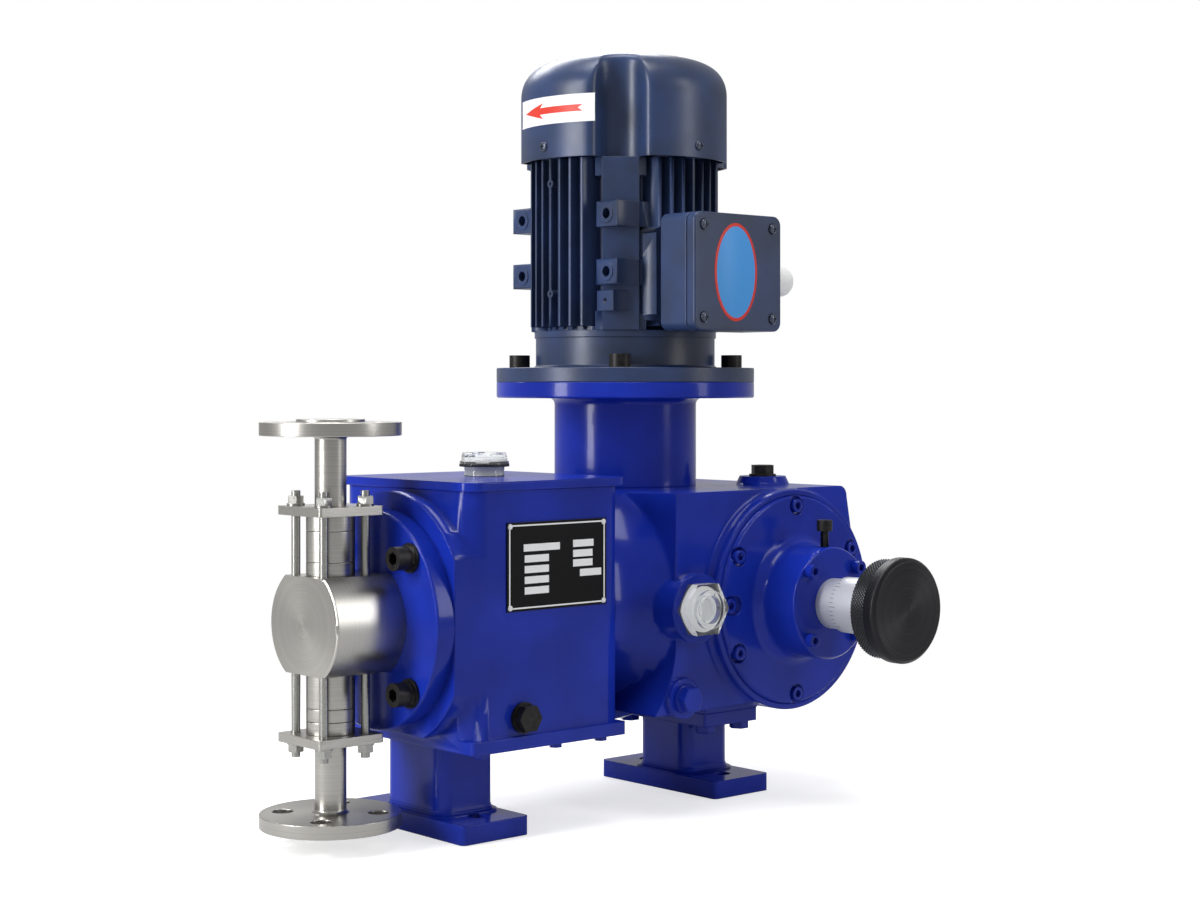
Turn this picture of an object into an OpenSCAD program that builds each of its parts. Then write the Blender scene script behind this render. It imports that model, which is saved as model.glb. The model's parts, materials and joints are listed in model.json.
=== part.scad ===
// Plunger metering pump with a vertical flange motor, a worm drive and a hand-set stroke.
// Millimetres. X runs along the plunger from the liquid end to the gearbox, -Y is the side
// with the nameplate and the stroke knob, and +Z is up. The origin is on the floor, at the
// centre of the four foundation bolt holes.

/* [Overall layout] */
// Height of the plunger and worm wheel axis above the floor
axis_h = 148; // [140:1:170]
// Distance between the two rows of foundation holes
foot_pitch = 236; // [225:1:250]
// Distance between the two holes of one foot
foot_hole_span = 84; // [76:1:96]
// Radius of a foundation hole
foot_hole_r = 6; // [4:0.5:7]
// How far the crosshead box reaches past the front holes
box_overhang = 31.5; // [26:0.5:38]

/* [Feet] */
// Length of a foot along the pump
foot_len = 57.5; // [50:0.5:64]
// Width of a foot across the pump
foot_wid = 127; // [115:1:150]
// Thickness of the foot plate
foot_t = 13; // [10:0.5:18]
// Length of the pedestal along the pump
pedestal_len = 48; // [38:0.5:50]
// Width of the front pedestal across the pump
front_pedestal_wid = 66; // [50:1:72]
// Width of the rear pedestal across the pump
rear_pedestal_wid = 54; // [44:1:70]
// Thickness of the flange on top of the rear pedestal
foot_flange_t = 10; // [7:0.5:14]
// Width of that flange across the pump
foot_flange_wid = 104; // [90:1:120]

/* [Crosshead housing] */
// Length of the crosshead box
box_len = 137; // [130:1:150]
// Width of the crosshead box
box_wid = 150; // [140:1:156]
// Height of the box above the axis
box_above = 89; // [86:1:95]
// Depth of the box below the axis
box_below = 77; // [76:0.5:80]
// Corner radius of the box
box_corner = 15; // [10:1:20]
// Wall thickness of the box
box_wall = 10; // [8:0.5:12]
// Thickness of the lip under the box
lip_t = 9; // [6:0.5:10]
// How far the lip and the lid stand out past the walls
lip_out = 3; // [1:0.5:5]
// Thickness of the lid
lid_t = 6; // [4:0.5:9]
// Length of the round boss in front of the box
boss_len = 13; // [10:0.5:18]
// Radius of that boss
boss_r = 87; // [82:0.5:90]
// Inner radius of the crosshead guide
guide_r = 26; // [24:0.5:28]
// Wall of the crosshead guide
guide_wall = 7; // [5:0.5:9]

/* [Gearbox] */
// Distance from the box to the gearbox face along the neck
neck_len = 38.5; // [34:0.5:44]
// Radius of the neck at the crosshead box
neck_r = 66; // [60:0.5:70]
// Radius of the flared neck at the gearbox
neck_flare_r = 89; // [84:0.5:90]
// Distance from the wheel axis to the gearbox's left face
gear_left = 113.5; // [110:0.5:118]
// Distance from the wheel axis to the upper right corner
gear_right = 68; // [64:0.5:72]
// Height of the gearbox top above the ring round the cover
gear_rim = 0.5; // [0:0.5:4]
// Depth of the gearbox below the axis
gear_below = 75; // [72:0.5:78]
// Front face of the gearbox, measured from the plunger axis
gear_front = 88; // [86:0.5:92]
// Back face of the gearbox, measured from the plunger axis
gear_back = 92; // [91:0.5:96]
// Wall thickness of the gearbox
gear_wall = 10; // [8:0.5:12]
// Radius of the gear cover
cover_r = 77.5; // [75:0.5:79]
// Thickness of the gear cover
cover_t = 11; // [10:0.5:14]
// Bolt circle radius of the gear cover
cover_bolt_r = 70; // [68:0.5:71]
// Radius of the cover's hub
hub_r = 41; // [38:0.5:45]
// Length of the hub in front of the cover
hub_len = 36; // [32:0.5:40]

/* [Worm drive] */
// Axial module of the worm
worm_module = 2; // [1.9:0.05:2]
// Teeth on the worm wheel
wheel_teeth = 36; // [34:1:36]
// Pitch radius of the worm
worm_pitch_r = 14; // [13.5:0.5:15]
// Length of the worm thread
worm_len = 30; // [24:1:36]
// Play between worm thread and wheel teeth, along the pitch line
mesh_play = 0.8; // [0.6:0.1:1.2]
// Width of the worm wheel's rim
wheel_wid = 18; // [14:1:22]
// Offset of the worm wheel's mid-plane behind the plunger axis
wheel_y = 36; // [35:0.5:36.5]

/* [Stroke mechanism] */
// Full stroke of the plunger
stroke = 12; // [8:0.5:12]
// Axial travel of the N-shaft per millimetre of eccentricity
shaft_slope = 2; // [1.9:0.05:2.1]
// Radius of the eccentric disc
disc_r = 28; // [27:0.5:29]
// Thickness of the eccentric disc
disc_t = 20; // [18:0.5:21]
// Outer radius of the slotted spindle
spindle_r = 17; // [16:0.5:17.5]
// Radius of the N-shaft
n_shaft_r = 8.95; // [8:0.05:9.2]
// Radial running clearance of shafts in their bores
run_fit = 0.05; // [0.02:0.01:0.09]
// Gap between faces that slide or turn past each other
face_gap = 0.3; // [0.25:0.05:0.4]
// Radius of the stroke knob
knob_r = 37.5; // [34:0.5:42]
// Thickness of the stroke knob
knob_len = 25; // [22:0.5:28]
// Radius of the fixed scale sleeve
sleeve_r = 18.4; // [17:0.1:19]
// Visible length of the fixed scale sleeve
sleeve_len = 14; // [14:0.5:18]
// Radius of the turning dial
dial_r = 20.3; // [20:0.1:22]
// Visible length of the turning dial
dial_len = 33; // [32:0.5:38]

/* [Liquid end] */
// Radius of the plunger
plunger_r = 8; // [6:0.5:9]
// Length of the pump head along the plunger
head_len = 55; // [52:0.5:60]
// Radius of the pump head
head_r = 40; // [38:0.5:44]
// Height of the head's flats above and below the axis
head_flat = 32.5; // [31:0.5:35]
// Distance from the head's back face to the pipe axis
pipe_from_back = 33; // [31:0.5:34]
// Radius of the flange that carries the head
head_flange_r = 75; // [73:0.5:78]
// Thickness of that flange
head_flange_t = 14; // [12:0.5:18]
// Half the spacing of the head flange bolts
head_bolt_off = 45; // [44:0.5:46]
// Outside radius of the connecting pipes
pipe_r = 10.65; // [10:0.05:11.5]
// Bore radius of the connecting pipes
pipe_bore_r = 7.5; // [6.5:0.1:8]
// Radius of the pipe flanges
pipe_flange_r = 47.5; // [46:0.5:50]
// Thickness of the pipe flanges without the raised face
pipe_flange_t = 9; // [8:0.5:12]
// Height of the raised face
raised_face_t = 2; // [1:0.5:3]
// Bolt circle radius of the pipe flanges
pipe_flange_bolt_r = 32.5; // [31:0.5:35]
// Hole radius of the pipe flanges
pipe_flange_hole_r = 7; // [5:0.5:8]
// Distance from the plunger axis to the outer face of each pipe flange
flange_reach = 137; // [134:0.5:139]
// Half the side of the square yoke plates
yoke_half = 25.6; // [24.5:0.1:28]
// Thickness of the yoke plates
yoke_t = 6; // [5:0.5:8]
// Half the spacing of the yoke studs
stud_off = 16.6; // [16.4:0.1:17]
// Distance from the plunger axis to the inner face of each yoke plate
yoke_reach = 73; // [72:0.5:76]
// Outside radius of the valve cartridges
valve_r = 16.35; // [15.5:0.05:16.4]
// Radius of a valve ball
ball_r = 6; // [5:0.1:6.2]
// Lift of a valve ball
ball_lift = 3; // [1.5:0.5:3]

/* [Motor] */
// Radius of the motor flange and of the lantern's top flange
motor_flange_r = 100; // [97:1:104]
// Bolt circle radius of the motor flange
motor_bolt_r = 82.5; // [81:0.5:84]
// Radius of the lantern column
column_r = 55; // [50:0.5:55]
// Length of the lantern from the gearbox to the motor flange
lantern_len = 79.5; // [76:0.5:90]
// Thickness of the lantern's top flange
lantern_flange_t = 12; // [10:0.5:16]
// Thickness of the motor flange
motor_flange_t = 11; // [9:0.5:14]
// Radius of the end shield's neck
shield_neck_r = 69.5; // [66:0.5:71]
// Length of the end shield's neck
shield_neck_len = 28; // [24:0.5:32]
// Length of the finned frame
frame_len = 131; // [126:1:140]
// Radius of the frame under the fins
frame_core_r = 62; // [61:0.5:65]
// Radius of the circle that the fin tips lie on
fin_tip_r = 76.5; // [75:0.5:78]
// Spacing of the cooling fins
fin_pitch = 9.8; // [9:0.1:11]
// Thickness of a cooling fin
fin_t = 2.6; // [2:0.1:3.5]
// Radius of the fan cowl
cowl_r = 82.5; // [82:0.5:86]
// Height of the fan cowl
cowl_h = 82; // [79:1:92]
// Wall thickness of the fan cowl
cowl_wall = 2; // [1.5:0.1:2.5]
// Radius of the four hollow flutes in the cowl's corners
flute_r = 18; // [14:0.5:19]
// Radius of the motor shaft
motor_shaft_r = 9.5; // [8:0.5:10]
// Width of the terminal box
terminal_wid = 90; // [84:1:96]
// Height of the terminal box
terminal_tall = 86; // [80:1:92]
// Length of the neck between the frame and the terminal box
terminal_neck_len = 12; // [6:0.5:16]
// Depth of the terminal box in front of its neck, with the lid
terminal_depth = 36; // [32:0.5:40]
// Thickness of the terminal box lid
terminal_lid_t = 9; // [6:0.5:12]

/* [Hidden] */
$fn = 96;
eps = 0.01;
casting_blue = "#1d2a8f";
motor_grey = "#3f4a60";
stainless = "#b9bab6";
black_oxide = "#26272b";
bearing_steel = "#9ea1a5";
ground_steel = "#8d9094";
clear_plastic = "#dfe6ea";
dial_silver = "#c4c7c9";

// Fits between pieces that don't move
seat_fit = 0.02;
spigot_fit = 0.1;
screw_fit = 0.05;

// Places along the pump
front_foot_x = -foot_pitch / 2;
rear_foot_x = foot_pitch / 2;
box_front_x = front_foot_x - box_overhang;
box_back_x = box_front_x + box_len;
gear_left_x = box_back_x + neck_len;
wheel_x = gear_left_x + gear_left;
boss_front_x = box_front_x - boss_len;
head_back_x = boss_front_x - head_flange_t;
head_front_x = head_back_x - head_len;
pipe_x = head_back_x - pipe_from_back;
box_mid_x = (box_front_x + box_back_x) / 2;

// Heights
box_bottom = axis_h - box_below;
box_top = axis_h + box_above;
lip_bottom = box_bottom - lip_t;
cover_ring_r = cover_r + 4.5;
gear_above = cover_ring_r + gear_rim;
gear_top = axis_h + gear_above;
gear_bottom = axis_h - gear_below;
lid_top = box_top + lid_t;
rear_seat_z = axis_h - cover_ring_r - 4;

// Feet and the bolts that hold them from below
foot_corner = 4;
foot_flare = 5;
pedestal_corner = 10;
foot_flange_len = foot_len - 1.5;
lip_bolt_r = 2.5;
lip_bolt_af = 8;
lip_bolt_head = 4;
foot_bolt_r = 3.95;
foot_bolt_af = 13;
foot_bolt_head = 6;
foot_bolt_off = 18;

// Fittings of the crosshead box
box_floor_t = 5;
lid_spigot_t = 5;
guide_bore_r = guide_r + guide_wall;
rod_way_r = guide_bore_r + 5;
box_thread_r = 5;
crosshead_plug_x = front_foot_x + 13.5;
crosshead_plug_z = box_bottom + 12;
plug_thread_r = 6.4;
plug_collar_r = 10.5;
plug_af = 17;
plate_len = 89;
plate_h = 60;
plate_x = box_mid_x + 6.5;
plate_low = axis_h + 7;
filler_x = box_mid_x + 2.5;
filler_thread_r = 12;
filler_neck_r = 14.3;
filler_neck_h = 8;
filler_head_r = 17.5;
filler_head_h = 8;
filler_ring_t = 0.8;

// Gearbox casting, seen along the wheel axis
flare_h = 52;
flare_w = 21;
gear_corner = 8;
slope_start_z = 27;
slope_out = 5;
ring_front = 8;
cover_angles = [0, 30, 90, 150, 180, 210, 270, 330];
cover_spigot_r = 62;
lantern_spigot_r = 40;
sight_x = gear_left_x + 14.5;
sight_boss_r = 25;
sight_r = 12;
sight_af = 36;
sight_h = 10;
gear_plug_x = gear_left_x + 5;
gear_plug_z = gear_bottom + 11;
gear_plug_boss_r = 14.5;
gear_plug_boss_h = 4;
vent_x = wheel_x + 35;
vent_y = -30;
vent_boss_r = 18;
vent_boss_h = 6.5;
vent_r = 5;
back_boss_r = 36;
back_boss_h = 6;

// Screws of the cover and of its hub
cover_screw_r = 3;
cover_screw_len = 14;
hub_screw_len = 10;
cover_head_r = 5;
recess_r = 7;
recess_t = 4;
recess_run = 5;
hub_screw_off = 25;
screw_af = 5;

// Worm drive
wheel_pitch_r = worm_module * wheel_teeth / 2;
centre_distance = wheel_pitch_r + worm_pitch_r;
worm_x = wheel_x - centre_distance;
worm_lead = PI * worm_module;
addendum = worm_module;
dedendum = 1.2 * worm_module;
pressure_angle = 20;
tooth_w = (PI * worm_module - mesh_play) / 2;
tooth_tip_w = tooth_w - 2 * addendum * tan(pressure_angle);
tooth_root_w = tooth_w + 2 * dedendum * tan(pressure_angle);
worm_tip_r = worm_pitch_r + addendum;
worm_root_r = worm_pitch_r - dedendum;
lead_slope = worm_lead / (2 * PI * worm_pitch_r);
worm_shaft_r = 9;
worm_bearing_r = 18;
worm_bearing_w = 12;
worm_seat_deep = 6;
worm_low_z = gear_bottom + gear_wall - worm_seat_deep;
shaft_low_z = gear_bottom + gear_wall;
worm_high_z = gear_top - 24;
coupling_z = gear_top + 8;
coupling_half = 24;
coupling_r = 22;

// Motor stack
lantern_flange_z = gear_top + lantern_len - lantern_flange_t;
motor_z = gear_top + lantern_len;
shield_z = motor_z + motor_flange_t;
frame_z = shield_z + shield_neck_len;
frame_top = frame_z + frame_len;
lantern_wall = 13;
shield_wall = 10;
flange_screw_r = 5;
cowl_lap = 2;
cowl_z = frame_top - cowl_lap;
shaft_top = frame_top + 34;
motor_bearing_r = 20;
motor_bearing_w = 12;
bearing_wall = 6;
lower_bearing_z = shield_z + 8;
upper_bearing_drop = 19;
upper_bearing_z = frame_top - upper_bearing_drop;
stator_wall = 17.5;
air_gap = 0.5;
core_low = 26;
rotor_ring_h = 5;
core_high = upper_bearing_drop + bearing_wall + rotor_ring_h + 1;
core_z = frame_z + core_low;
core_len = frame_len - core_low - core_high;
core_end = 2;
winding_h = 16;

// Motor frame, with heights from its lower end
frame_wall = 6;
frame_bore_r = frame_core_r - frame_wall;
rotor_r = frame_bore_r - stator_wall - air_gap;
frame_top_wall = 10;
fin_count = 7;
fin_low = 3;
column_wid = 28;
column_reach = frame_core_r + 10;
cap_wid = 38;
cap_reach = frame_core_r + 7;
cap_h = 14;
lug_x = 63;
lug_y = 49;
lug_len = 37;
lug_wid = 23;
lug_h = 19;
lug_hole_r = 4;
lug_heights = [frame_len - 88, frame_len - 45];
fin_boss_r = 3.2;
fin_boss_heights = [27.5, frame_len - 20.5];
earth_x = 62;
earth_shift = 3;
earth_len = 30;
earth_wid = 18;
earth_h = 15;
earth_drop = 117;
earth_low = frame_len - earth_drop;

// Fan and cowl
dome_w = 34;
dome_h = 30;
crown_drop = 2;
crown_r = 24;
flute_at = 80;
grille_slot = 4;
grille_pitch = 8;
grille_bar = 5;
grille_reach = 34;
cowl_spigot_r = flute_at - flute_r - cowl_wall - face_gap;
cowl_screw_h = 9;
cowl_screw_r = 2;
cowl_block_wid = 14;
cowl_block_deep = 4;
fan_r = cowl_spigot_r - cowl_block_deep - 3.7;
fan_hub_r = 17;
fan_h = 22;
fan_z = frame_top + 10;

// Terminal box
terminal_low = -1.5;
terminal_z = frame_z + terminal_low;
terminal_mid_z = terminal_z + terminal_tall / 2;
terminal_corner = 7;
terminal_wall = 4;
terminal_floor_t = 3;
pad_reach = frame_core_r + 14;
terminal_back_y = wheel_y - pad_reach - terminal_neck_len;
cable_way_r = 12;
gland_depth = 15.5;
gland_rise = 39;
gland_y = terminal_back_y - gland_depth;
gland_z = terminal_z + gland_rise;
gland_thread_r = 9;

// Stroke mechanism
n_travel = stroke / 2 * shaft_slope;
n_shaft_tail = 44;
bar_half = 5.5;
bar_wid = 10;
bar_play = 0.15;
bridge_half = 6.9;
slot_half = bridge_half + face_gap;
bearing_seat_r = 15;
bearing_r = 26;
bearing_w = 12;
bearing_boss_wall = 8;
back_seat_rim = 4;
race_depth = 1.5;
spindle_front_y = -72;
spindle_back_y = 86;
front_bearing_y = spindle_front_y;
back_bearing_y = gear_back - gear_wall - bearing_w + 4;
cover_back_y = -gear_front;
cover_face_y = cover_back_y - cover_t;
hub_face_y = cover_face_y - hub_len;
sleeve_end_y = hub_face_y - sleeve_len;
sleeve_seat = 14;
sleeve_nose = 5.5;
dial_start_y = sleeve_end_y - 0.5;
knob_back_y = dial_start_y - dial_len + 0.5;
knob_face_y = knob_back_y - knob_len;
grip_r = knob_r - 2.5;
knob_rim_len = 11;
screw_sunk = 8;
screw_r = 8;
collar_r = 10.5;
collar_t = 4;
block_r = 14;
block_len = 26;
block_back_y = cover_face_y + 7;
block_front_y = block_back_y - block_len;
screw_collar_y = block_front_y + 3;
shaft_collar_y = block_back_y - 7;
lock_y = hub_face_y + 8;
lock_r = 3;
lock_reach = hub_r + 11.6;

// Crosshead and rod
crosshead_len = 62;
crosshead_front_x = box_front_x + 16;
crosshead_web = 12;
plunger_seat = 10;
pin_x = crosshead_front_x + 42;
pin_r = 6;
rod_t = 18;
rod_eye_r = 13;
rod_ring_r = disc_r + 8;
fork_half = rod_t / 2 + 1;
plunger_front_x = pipe_x + 10;

// Head flange and stuffing box
gland_r = 16;
head_spigot_r = gland_r + 3.9;
head_spigot_len = 6;
head_screw_r = 4.9;
head_screw_grip = 18;
head_screw_head_r = 8;
head_screw_head = 10;
head_screw_af = 8;
bolt_washer_t = 2;
bolt_spring_t = 2.6;
bolt_washers = bolt_washer_t + bolt_spring_t;
packing_len = 18;
packing_r = 13;
ring_count = 4;
ring_w = 4;

// Valves, seen from the plunger axis outwards
discharge_seat_h = 9.3;
discharge_cage_h = 20.7;
suction_cage_h = 23.1;
suction_seat_h = 8.7;
seat_bore_r = 4.5;
cage_bore_r = 9;
cage_rib_r = ball_r + 0.4;
rib_t = 3;
ball_seat_h = sqrt(ball_r * ball_r - seat_bore_r * seat_bore_r) + face_gap;
suction_seat_z = axis_h - head_flat - suction_cage_h - suction_seat_h;
discharge_collar_h = yoke_reach - head_flat - discharge_seat_h - discharge_cage_h;
suction_collar_h = yoke_reach - head_flat - suction_seat_h - suction_cage_h;
raised_face_r = 23;
stud_r = 3;
stud_deep = 10;
nut_af = 10;
nut_h = 5;
washer_t = 1.6;
stud_beyond = 3.6;

// Places a shape that is drawn along local +Z on a line parallel to X at the axis height
module along_x(x, y = 0, z = axis_h) {
  translate([x, y, z]) rotate([0, 90, 0]) children();
}

// Places a shape that is drawn along local +Z on a line parallel to Y; local Y points down
module along_y(x, y, z = axis_h) {
  translate([x, y, z]) rotate([-90, 0, 0]) children();
}

// Puts a copy of a shape at each corner of a square round local Z
module at_corners(off) {
  for (sx = [-1, 1], sy = [-1, 1]) translate([sx * off, sy * off, 0]) children();
}

// Puts a copy of a shape on each of the four diagonals of a circle round local Z
module on_diagonals(r) {
  for (a = [45 : 90 : 315]) rotate(a) translate([r, 0, 0]) children();
}

// Rectangle with round corners, centred
module round_rect(w, d, r) {
  square([w - 2 * r, d], center = true);
  square([w, d - 2 * r], center = true);
  for (sx = [-1, 1], sy = [-1, 1])
    translate([sx * (w / 2 - r), sy * (d / 2 - r)]) circle(r);
}

// Upright block with round vertical corners, centred on x and y
module round_block(x, y, z, w, d, h, r) {
  translate([x, y, z]) linear_extrude(h) round_rect(w, d, r);
}

// Straight tube along local Z
module tube(r_out, r_in, h) {
  difference() {
    cylinder(h = h, r = r_out);
    translate([0, 0, -eps]) cylinder(h = h + 2 * eps, r = r_in);
  }
}

// Hexagonal bar along local Z, measured across its flats
module hex(af, h) {
  cylinder(h = h, d = af / cos(30), $fn = 6);
}

// Socket head screw with its head on local z = 0 and its shank below
module socket_screw(shank_r, shank_len, head_r, head_h, socket_af) {
  difference() {
    union() {
      cylinder(h = head_h, r = head_r);
      translate([0, 0, -shank_len]) cylinder(h = shank_len + eps, r = shank_r);
    }
    translate([0, 0, 0.4 * head_h]) hex(socket_af, head_h);
  }
}

// Deep-groove bearing drawn as one ring with a recess on each face for its races
module bearing(r_in, r_out, w) {
  race = (r_out - r_in) / 3;
  rotate_extrude() difference() {
    translate([r_in, 0]) square([r_out - r_in, w]);
    translate([r_in + race, -eps]) square([race, race_depth]);
    translate([r_in + race, w - race_depth + eps]) square([race, race_depth]);
  }
}

// Foundation foot: plate with two holes, a round-cornered pedestal and a flare between them
module foot_body(x, wid, top_z) {
  steps = 4;
  difference() {
    union() {
      round_block(x, 0, 0, foot_len, foot_wid, foot_t, foot_corner);
      round_block(x, 0, foot_t - eps, pedestal_len, wid, top_z - foot_t + eps, pedestal_corner);
      for (i = [0 : steps - 1])
        let (a = 90 * i / steps, grow = foot_flare * (1 - sin(a)), rise = foot_flare * (1 - cos(a)))
          round_block(x, 0, foot_t - eps, min(pedestal_len + 2 * grow, foot_len - 1), wid + 2 * grow,
            rise + foot_flare / steps, pedestal_corner + grow);
    }
    for (s = [-1, 1])
      translate([x, s * foot_hole_span / 2, -1]) cylinder(h = foot_t + 2, r = foot_hole_r);
  }
}

// Crosshead housing: open-topped box with the guide, the round boss and the bottom lip
module crosshead_housing() color(casting_blue) {
  guide_front_x = boss_front_x + 6;
  difference() {
    union() {
      round_block(box_mid_x, 0, box_bottom - eps, box_len, box_wid, box_above + box_below + eps,
        box_corner);
      round_block(box_mid_x, 0, lip_bottom, box_len, box_wid + 2 * lip_out, lip_t, lip_out);
      intersection() {
        along_x(boss_front_x) cylinder(h = boss_len + box_corner, r = boss_r);
        translate([boss_front_x - 1, -box_wid / 2, box_bottom])
          cube([boss_len + box_corner + 1, box_wid, 2 * box_above]);
      }
    }
    round_block(box_mid_x, 0, box_bottom + box_floor_t, box_len - 2 * box_wall,
      box_wid - 2 * box_wall, box_top, box_corner - 5);
    along_x(boss_front_x - 1) cylinder(h = boss_len + box_wall + 2, r = guide_bore_r);
    along_x(box_back_x - box_wall - 1) cylinder(h = box_wall + 2, r = rod_way_r);
    along_x(boss_front_x - 1) at_corners(head_bolt_off)
      cylinder(h = head_screw_grip + 3, r = box_thread_r);
    along_y(crosshead_plug_x, -box_wid / 2 - 1, crosshead_plug_z)
      cylinder(h = box_wall + 2, r = plug_thread_r + spigot_fit);
    lip_bolts() translate([0, 0, -1]) cylinder(h = lip_t, r = lip_bolt_r + screw_fit);
  }
  difference() {
    along_x(guide_front_x)
      tube(guide_bore_r, guide_r, crosshead_front_x + crosshead_len + 6 - guide_front_x);
    translate([pin_x, 0, axis_h + guide_r]) cube([20, 24, 40], center = true);
  }
}

// Lid of the crosshead box with a spigot and the filler hole
module housing_lid() color(casting_blue) difference() {
  union() {
    round_block(box_mid_x, 0, box_top, box_len + 2 * lip_out, box_wid + 2 * lip_out, lid_t,
      box_corner - lip_out);
    round_block(box_mid_x, 0, box_top - lid_spigot_t, box_len - 2 * box_wall - 1,
      box_wid - 2 * box_wall - 1, lid_spigot_t + eps, box_corner - 6);
  }
  translate([filler_x, 0, box_top - lid_spigot_t - 1])
    cylinder(h = lid_t + lid_spigot_t + 2, r = filler_thread_r);
}

// Clear screw cap over the filler hole: a thread, a grooved neck and a chamfered hexagon
module filler_cap() color(clear_plastic, 0.6) translate([filler_x, 0, lid_top]) {
  thread_len = lid_t + lid_spigot_t - 2;
  head_z = filler_neck_h + filler_ring_t;
  groove = 0.6;
  difference() {
    union() {
      translate([0, 0, -thread_len])
        cylinder(h = thread_len + eps, r = filler_thread_r - spigot_fit);
      rotate_extrude() polygon([[0, 0], [filler_neck_r, 0], [filler_neck_r, filler_neck_h / 2 - groove],
        [filler_neck_r - groove, filler_neck_h / 2], [filler_neck_r, filler_neck_h / 2 + groove],
        [filler_neck_r, filler_neck_h - 1], [filler_thread_r, filler_neck_h - 1],
        [filler_thread_r, head_z], [0, head_z]]);
      translate([0, 0, head_z - eps]) cylinder(h = 2, r = filler_head_r);
      translate([0, 0, head_z]) intersection() {
        hex(2 * filler_head_r * cos(30), filler_head_h);
        cylinder(h = filler_head_h, r1 = filler_head_r + 4.5, r2 = filler_head_r - 2);
      }
    }
    translate([0, 0, -thread_len - eps]) cylinder(h = thread_len + 6, r = filler_thread_r - 3.5);
    translate([0, 0, head_z + filler_head_h - 1.5]) cylinder(h = 3, r = filler_head_r - 6.5);
  }
}

// Rubber ring between the neck and the head of the filler cap
module filler_seal_ring() color(black_oxide) translate([filler_x, 0, lid_top + filler_neck_h - 1])
  tube(filler_head_r + 0.3, filler_thread_r + seat_fit, filler_ring_t + 1 - eps);

// Screw plug drawn outwards along local -Z from the face it seals: collar, hexagon and thread
module screw_plug(thread_len) {
  collar = 2.5;
  translate([0, 0, -collar]) cylinder(h = collar, r = plug_collar_r);
  translate([0, 0, -collar - 6.5]) hex(plug_af, 6.5 + eps);
  translate([0, 0, -eps]) cylinder(h = thread_len, r = plug_thread_r);
}

// Black hexagon plug with a collar, low in the front wall
module crosshead_drain_plug() color(black_oxide)
  along_y(crosshead_plug_x, -box_wid / 2, crosshead_plug_z) screw_plug(box_wall);

// Blank rating plate on the front wall
module nameplate() color("#1b1c20")
  translate([plate_x - plate_len / 2, -box_wid / 2 - 1, plate_low]) cube([plate_len, 1, plate_h]);

// Bolts that hold the two feet from below
module foot_flange_bolts() color(casting_blue) {
  lip_bolts() {
    translate([0, 0, -lip_bolt_head]) hex(lip_bolt_af, lip_bolt_head);
    translate([0, 0, -eps]) cylinder(h = lip_t - 1, r = lip_bolt_r);
  }
  rear_foot_bolts() {
    translate([0, 0, -foot_bolt_head]) hex(foot_bolt_af, foot_bolt_head);
    translate([0, 0, -eps]) cylinder(h = foot_flange_t + 8, r = foot_bolt_r);
  }
}

// Places of the small bolts under the crosshead box
module lip_bolts() {
  for (x = [box_front_x + 15, box_mid_x + 12, box_back_x - 15], sy = [-1, 1])
    translate([x, sy * (box_wid / 2 - 8), lip_bottom]) children();
}

// Places of the bolts under the top flange of the rear foot
module rear_foot_bolts() {
  for (sx = [-1, 1], sy = [-1, 1])
    translate([rear_foot_x + sx * foot_bolt_off, sy * (foot_flange_wid / 2 - 10),
      rear_seat_z - foot_flange_t]) children();
}

// Front foot under the crosshead box
module front_foot() color(casting_blue) foot_body(front_foot_x, front_pedestal_wid, lip_bottom);

// Rear foot with its top flange under the gearbox
module rear_foot() color(casting_blue) difference() {
  union() {
    foot_body(rear_foot_x, rear_pedestal_wid, rear_seat_z - foot_flange_t + eps);
    round_block(rear_foot_x, 0, rear_seat_z - foot_flange_t, foot_flange_len, foot_flange_wid,
      foot_flange_t, 2);
  }
  rear_foot_bolts() translate([0, 0, -eps])
    cylinder(h = foot_flange_t + 1, r = foot_bolt_r + screw_fit);
}

// Flange that carries the pump head
module head_flange() color(casting_blue) difference() {
  along_x(head_back_x) rotate_extrude() polygon([[head_spigot_r + spigot_fit, 0],
    [head_flange_r - 1, 0], [head_flange_r, 1], [head_flange_r, head_flange_t],
    [head_spigot_r + spigot_fit, head_flange_t]]);
  along_x(head_back_x - 1) at_corners(head_bolt_off)
    cylinder(h = head_flange_t + 2, r = box_thread_r + 0.5);
}

// Puts a shape at each screw of the head flange, its local Z pointing out of the flange
module head_flange_places(lift) {
  translate([head_back_x - lift, 0, axis_h]) rotate([0, -90, 0]) at_corners(head_bolt_off) children();
}

// Four socket screws of the head flange
module head_flange_bolts() color(black_oxide) head_flange_places(bolt_washers)
  socket_screw(head_screw_r, head_flange_t + bolt_washers + head_screw_grip, head_screw_head_r,
    head_screw_head, head_screw_af);

// A flat washer and a spring washer under each of those screws
module head_flange_washers() color("#6d6e70") head_flange_places(0) {
  tube(head_screw_head_r + 2, head_screw_r + 0.4, bolt_washer_t);
  translate([0, 0, bolt_washer_t]) tube(head_screw_head_r + 0.6, head_screw_r + 0.4, bolt_spring_t);
}

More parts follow.
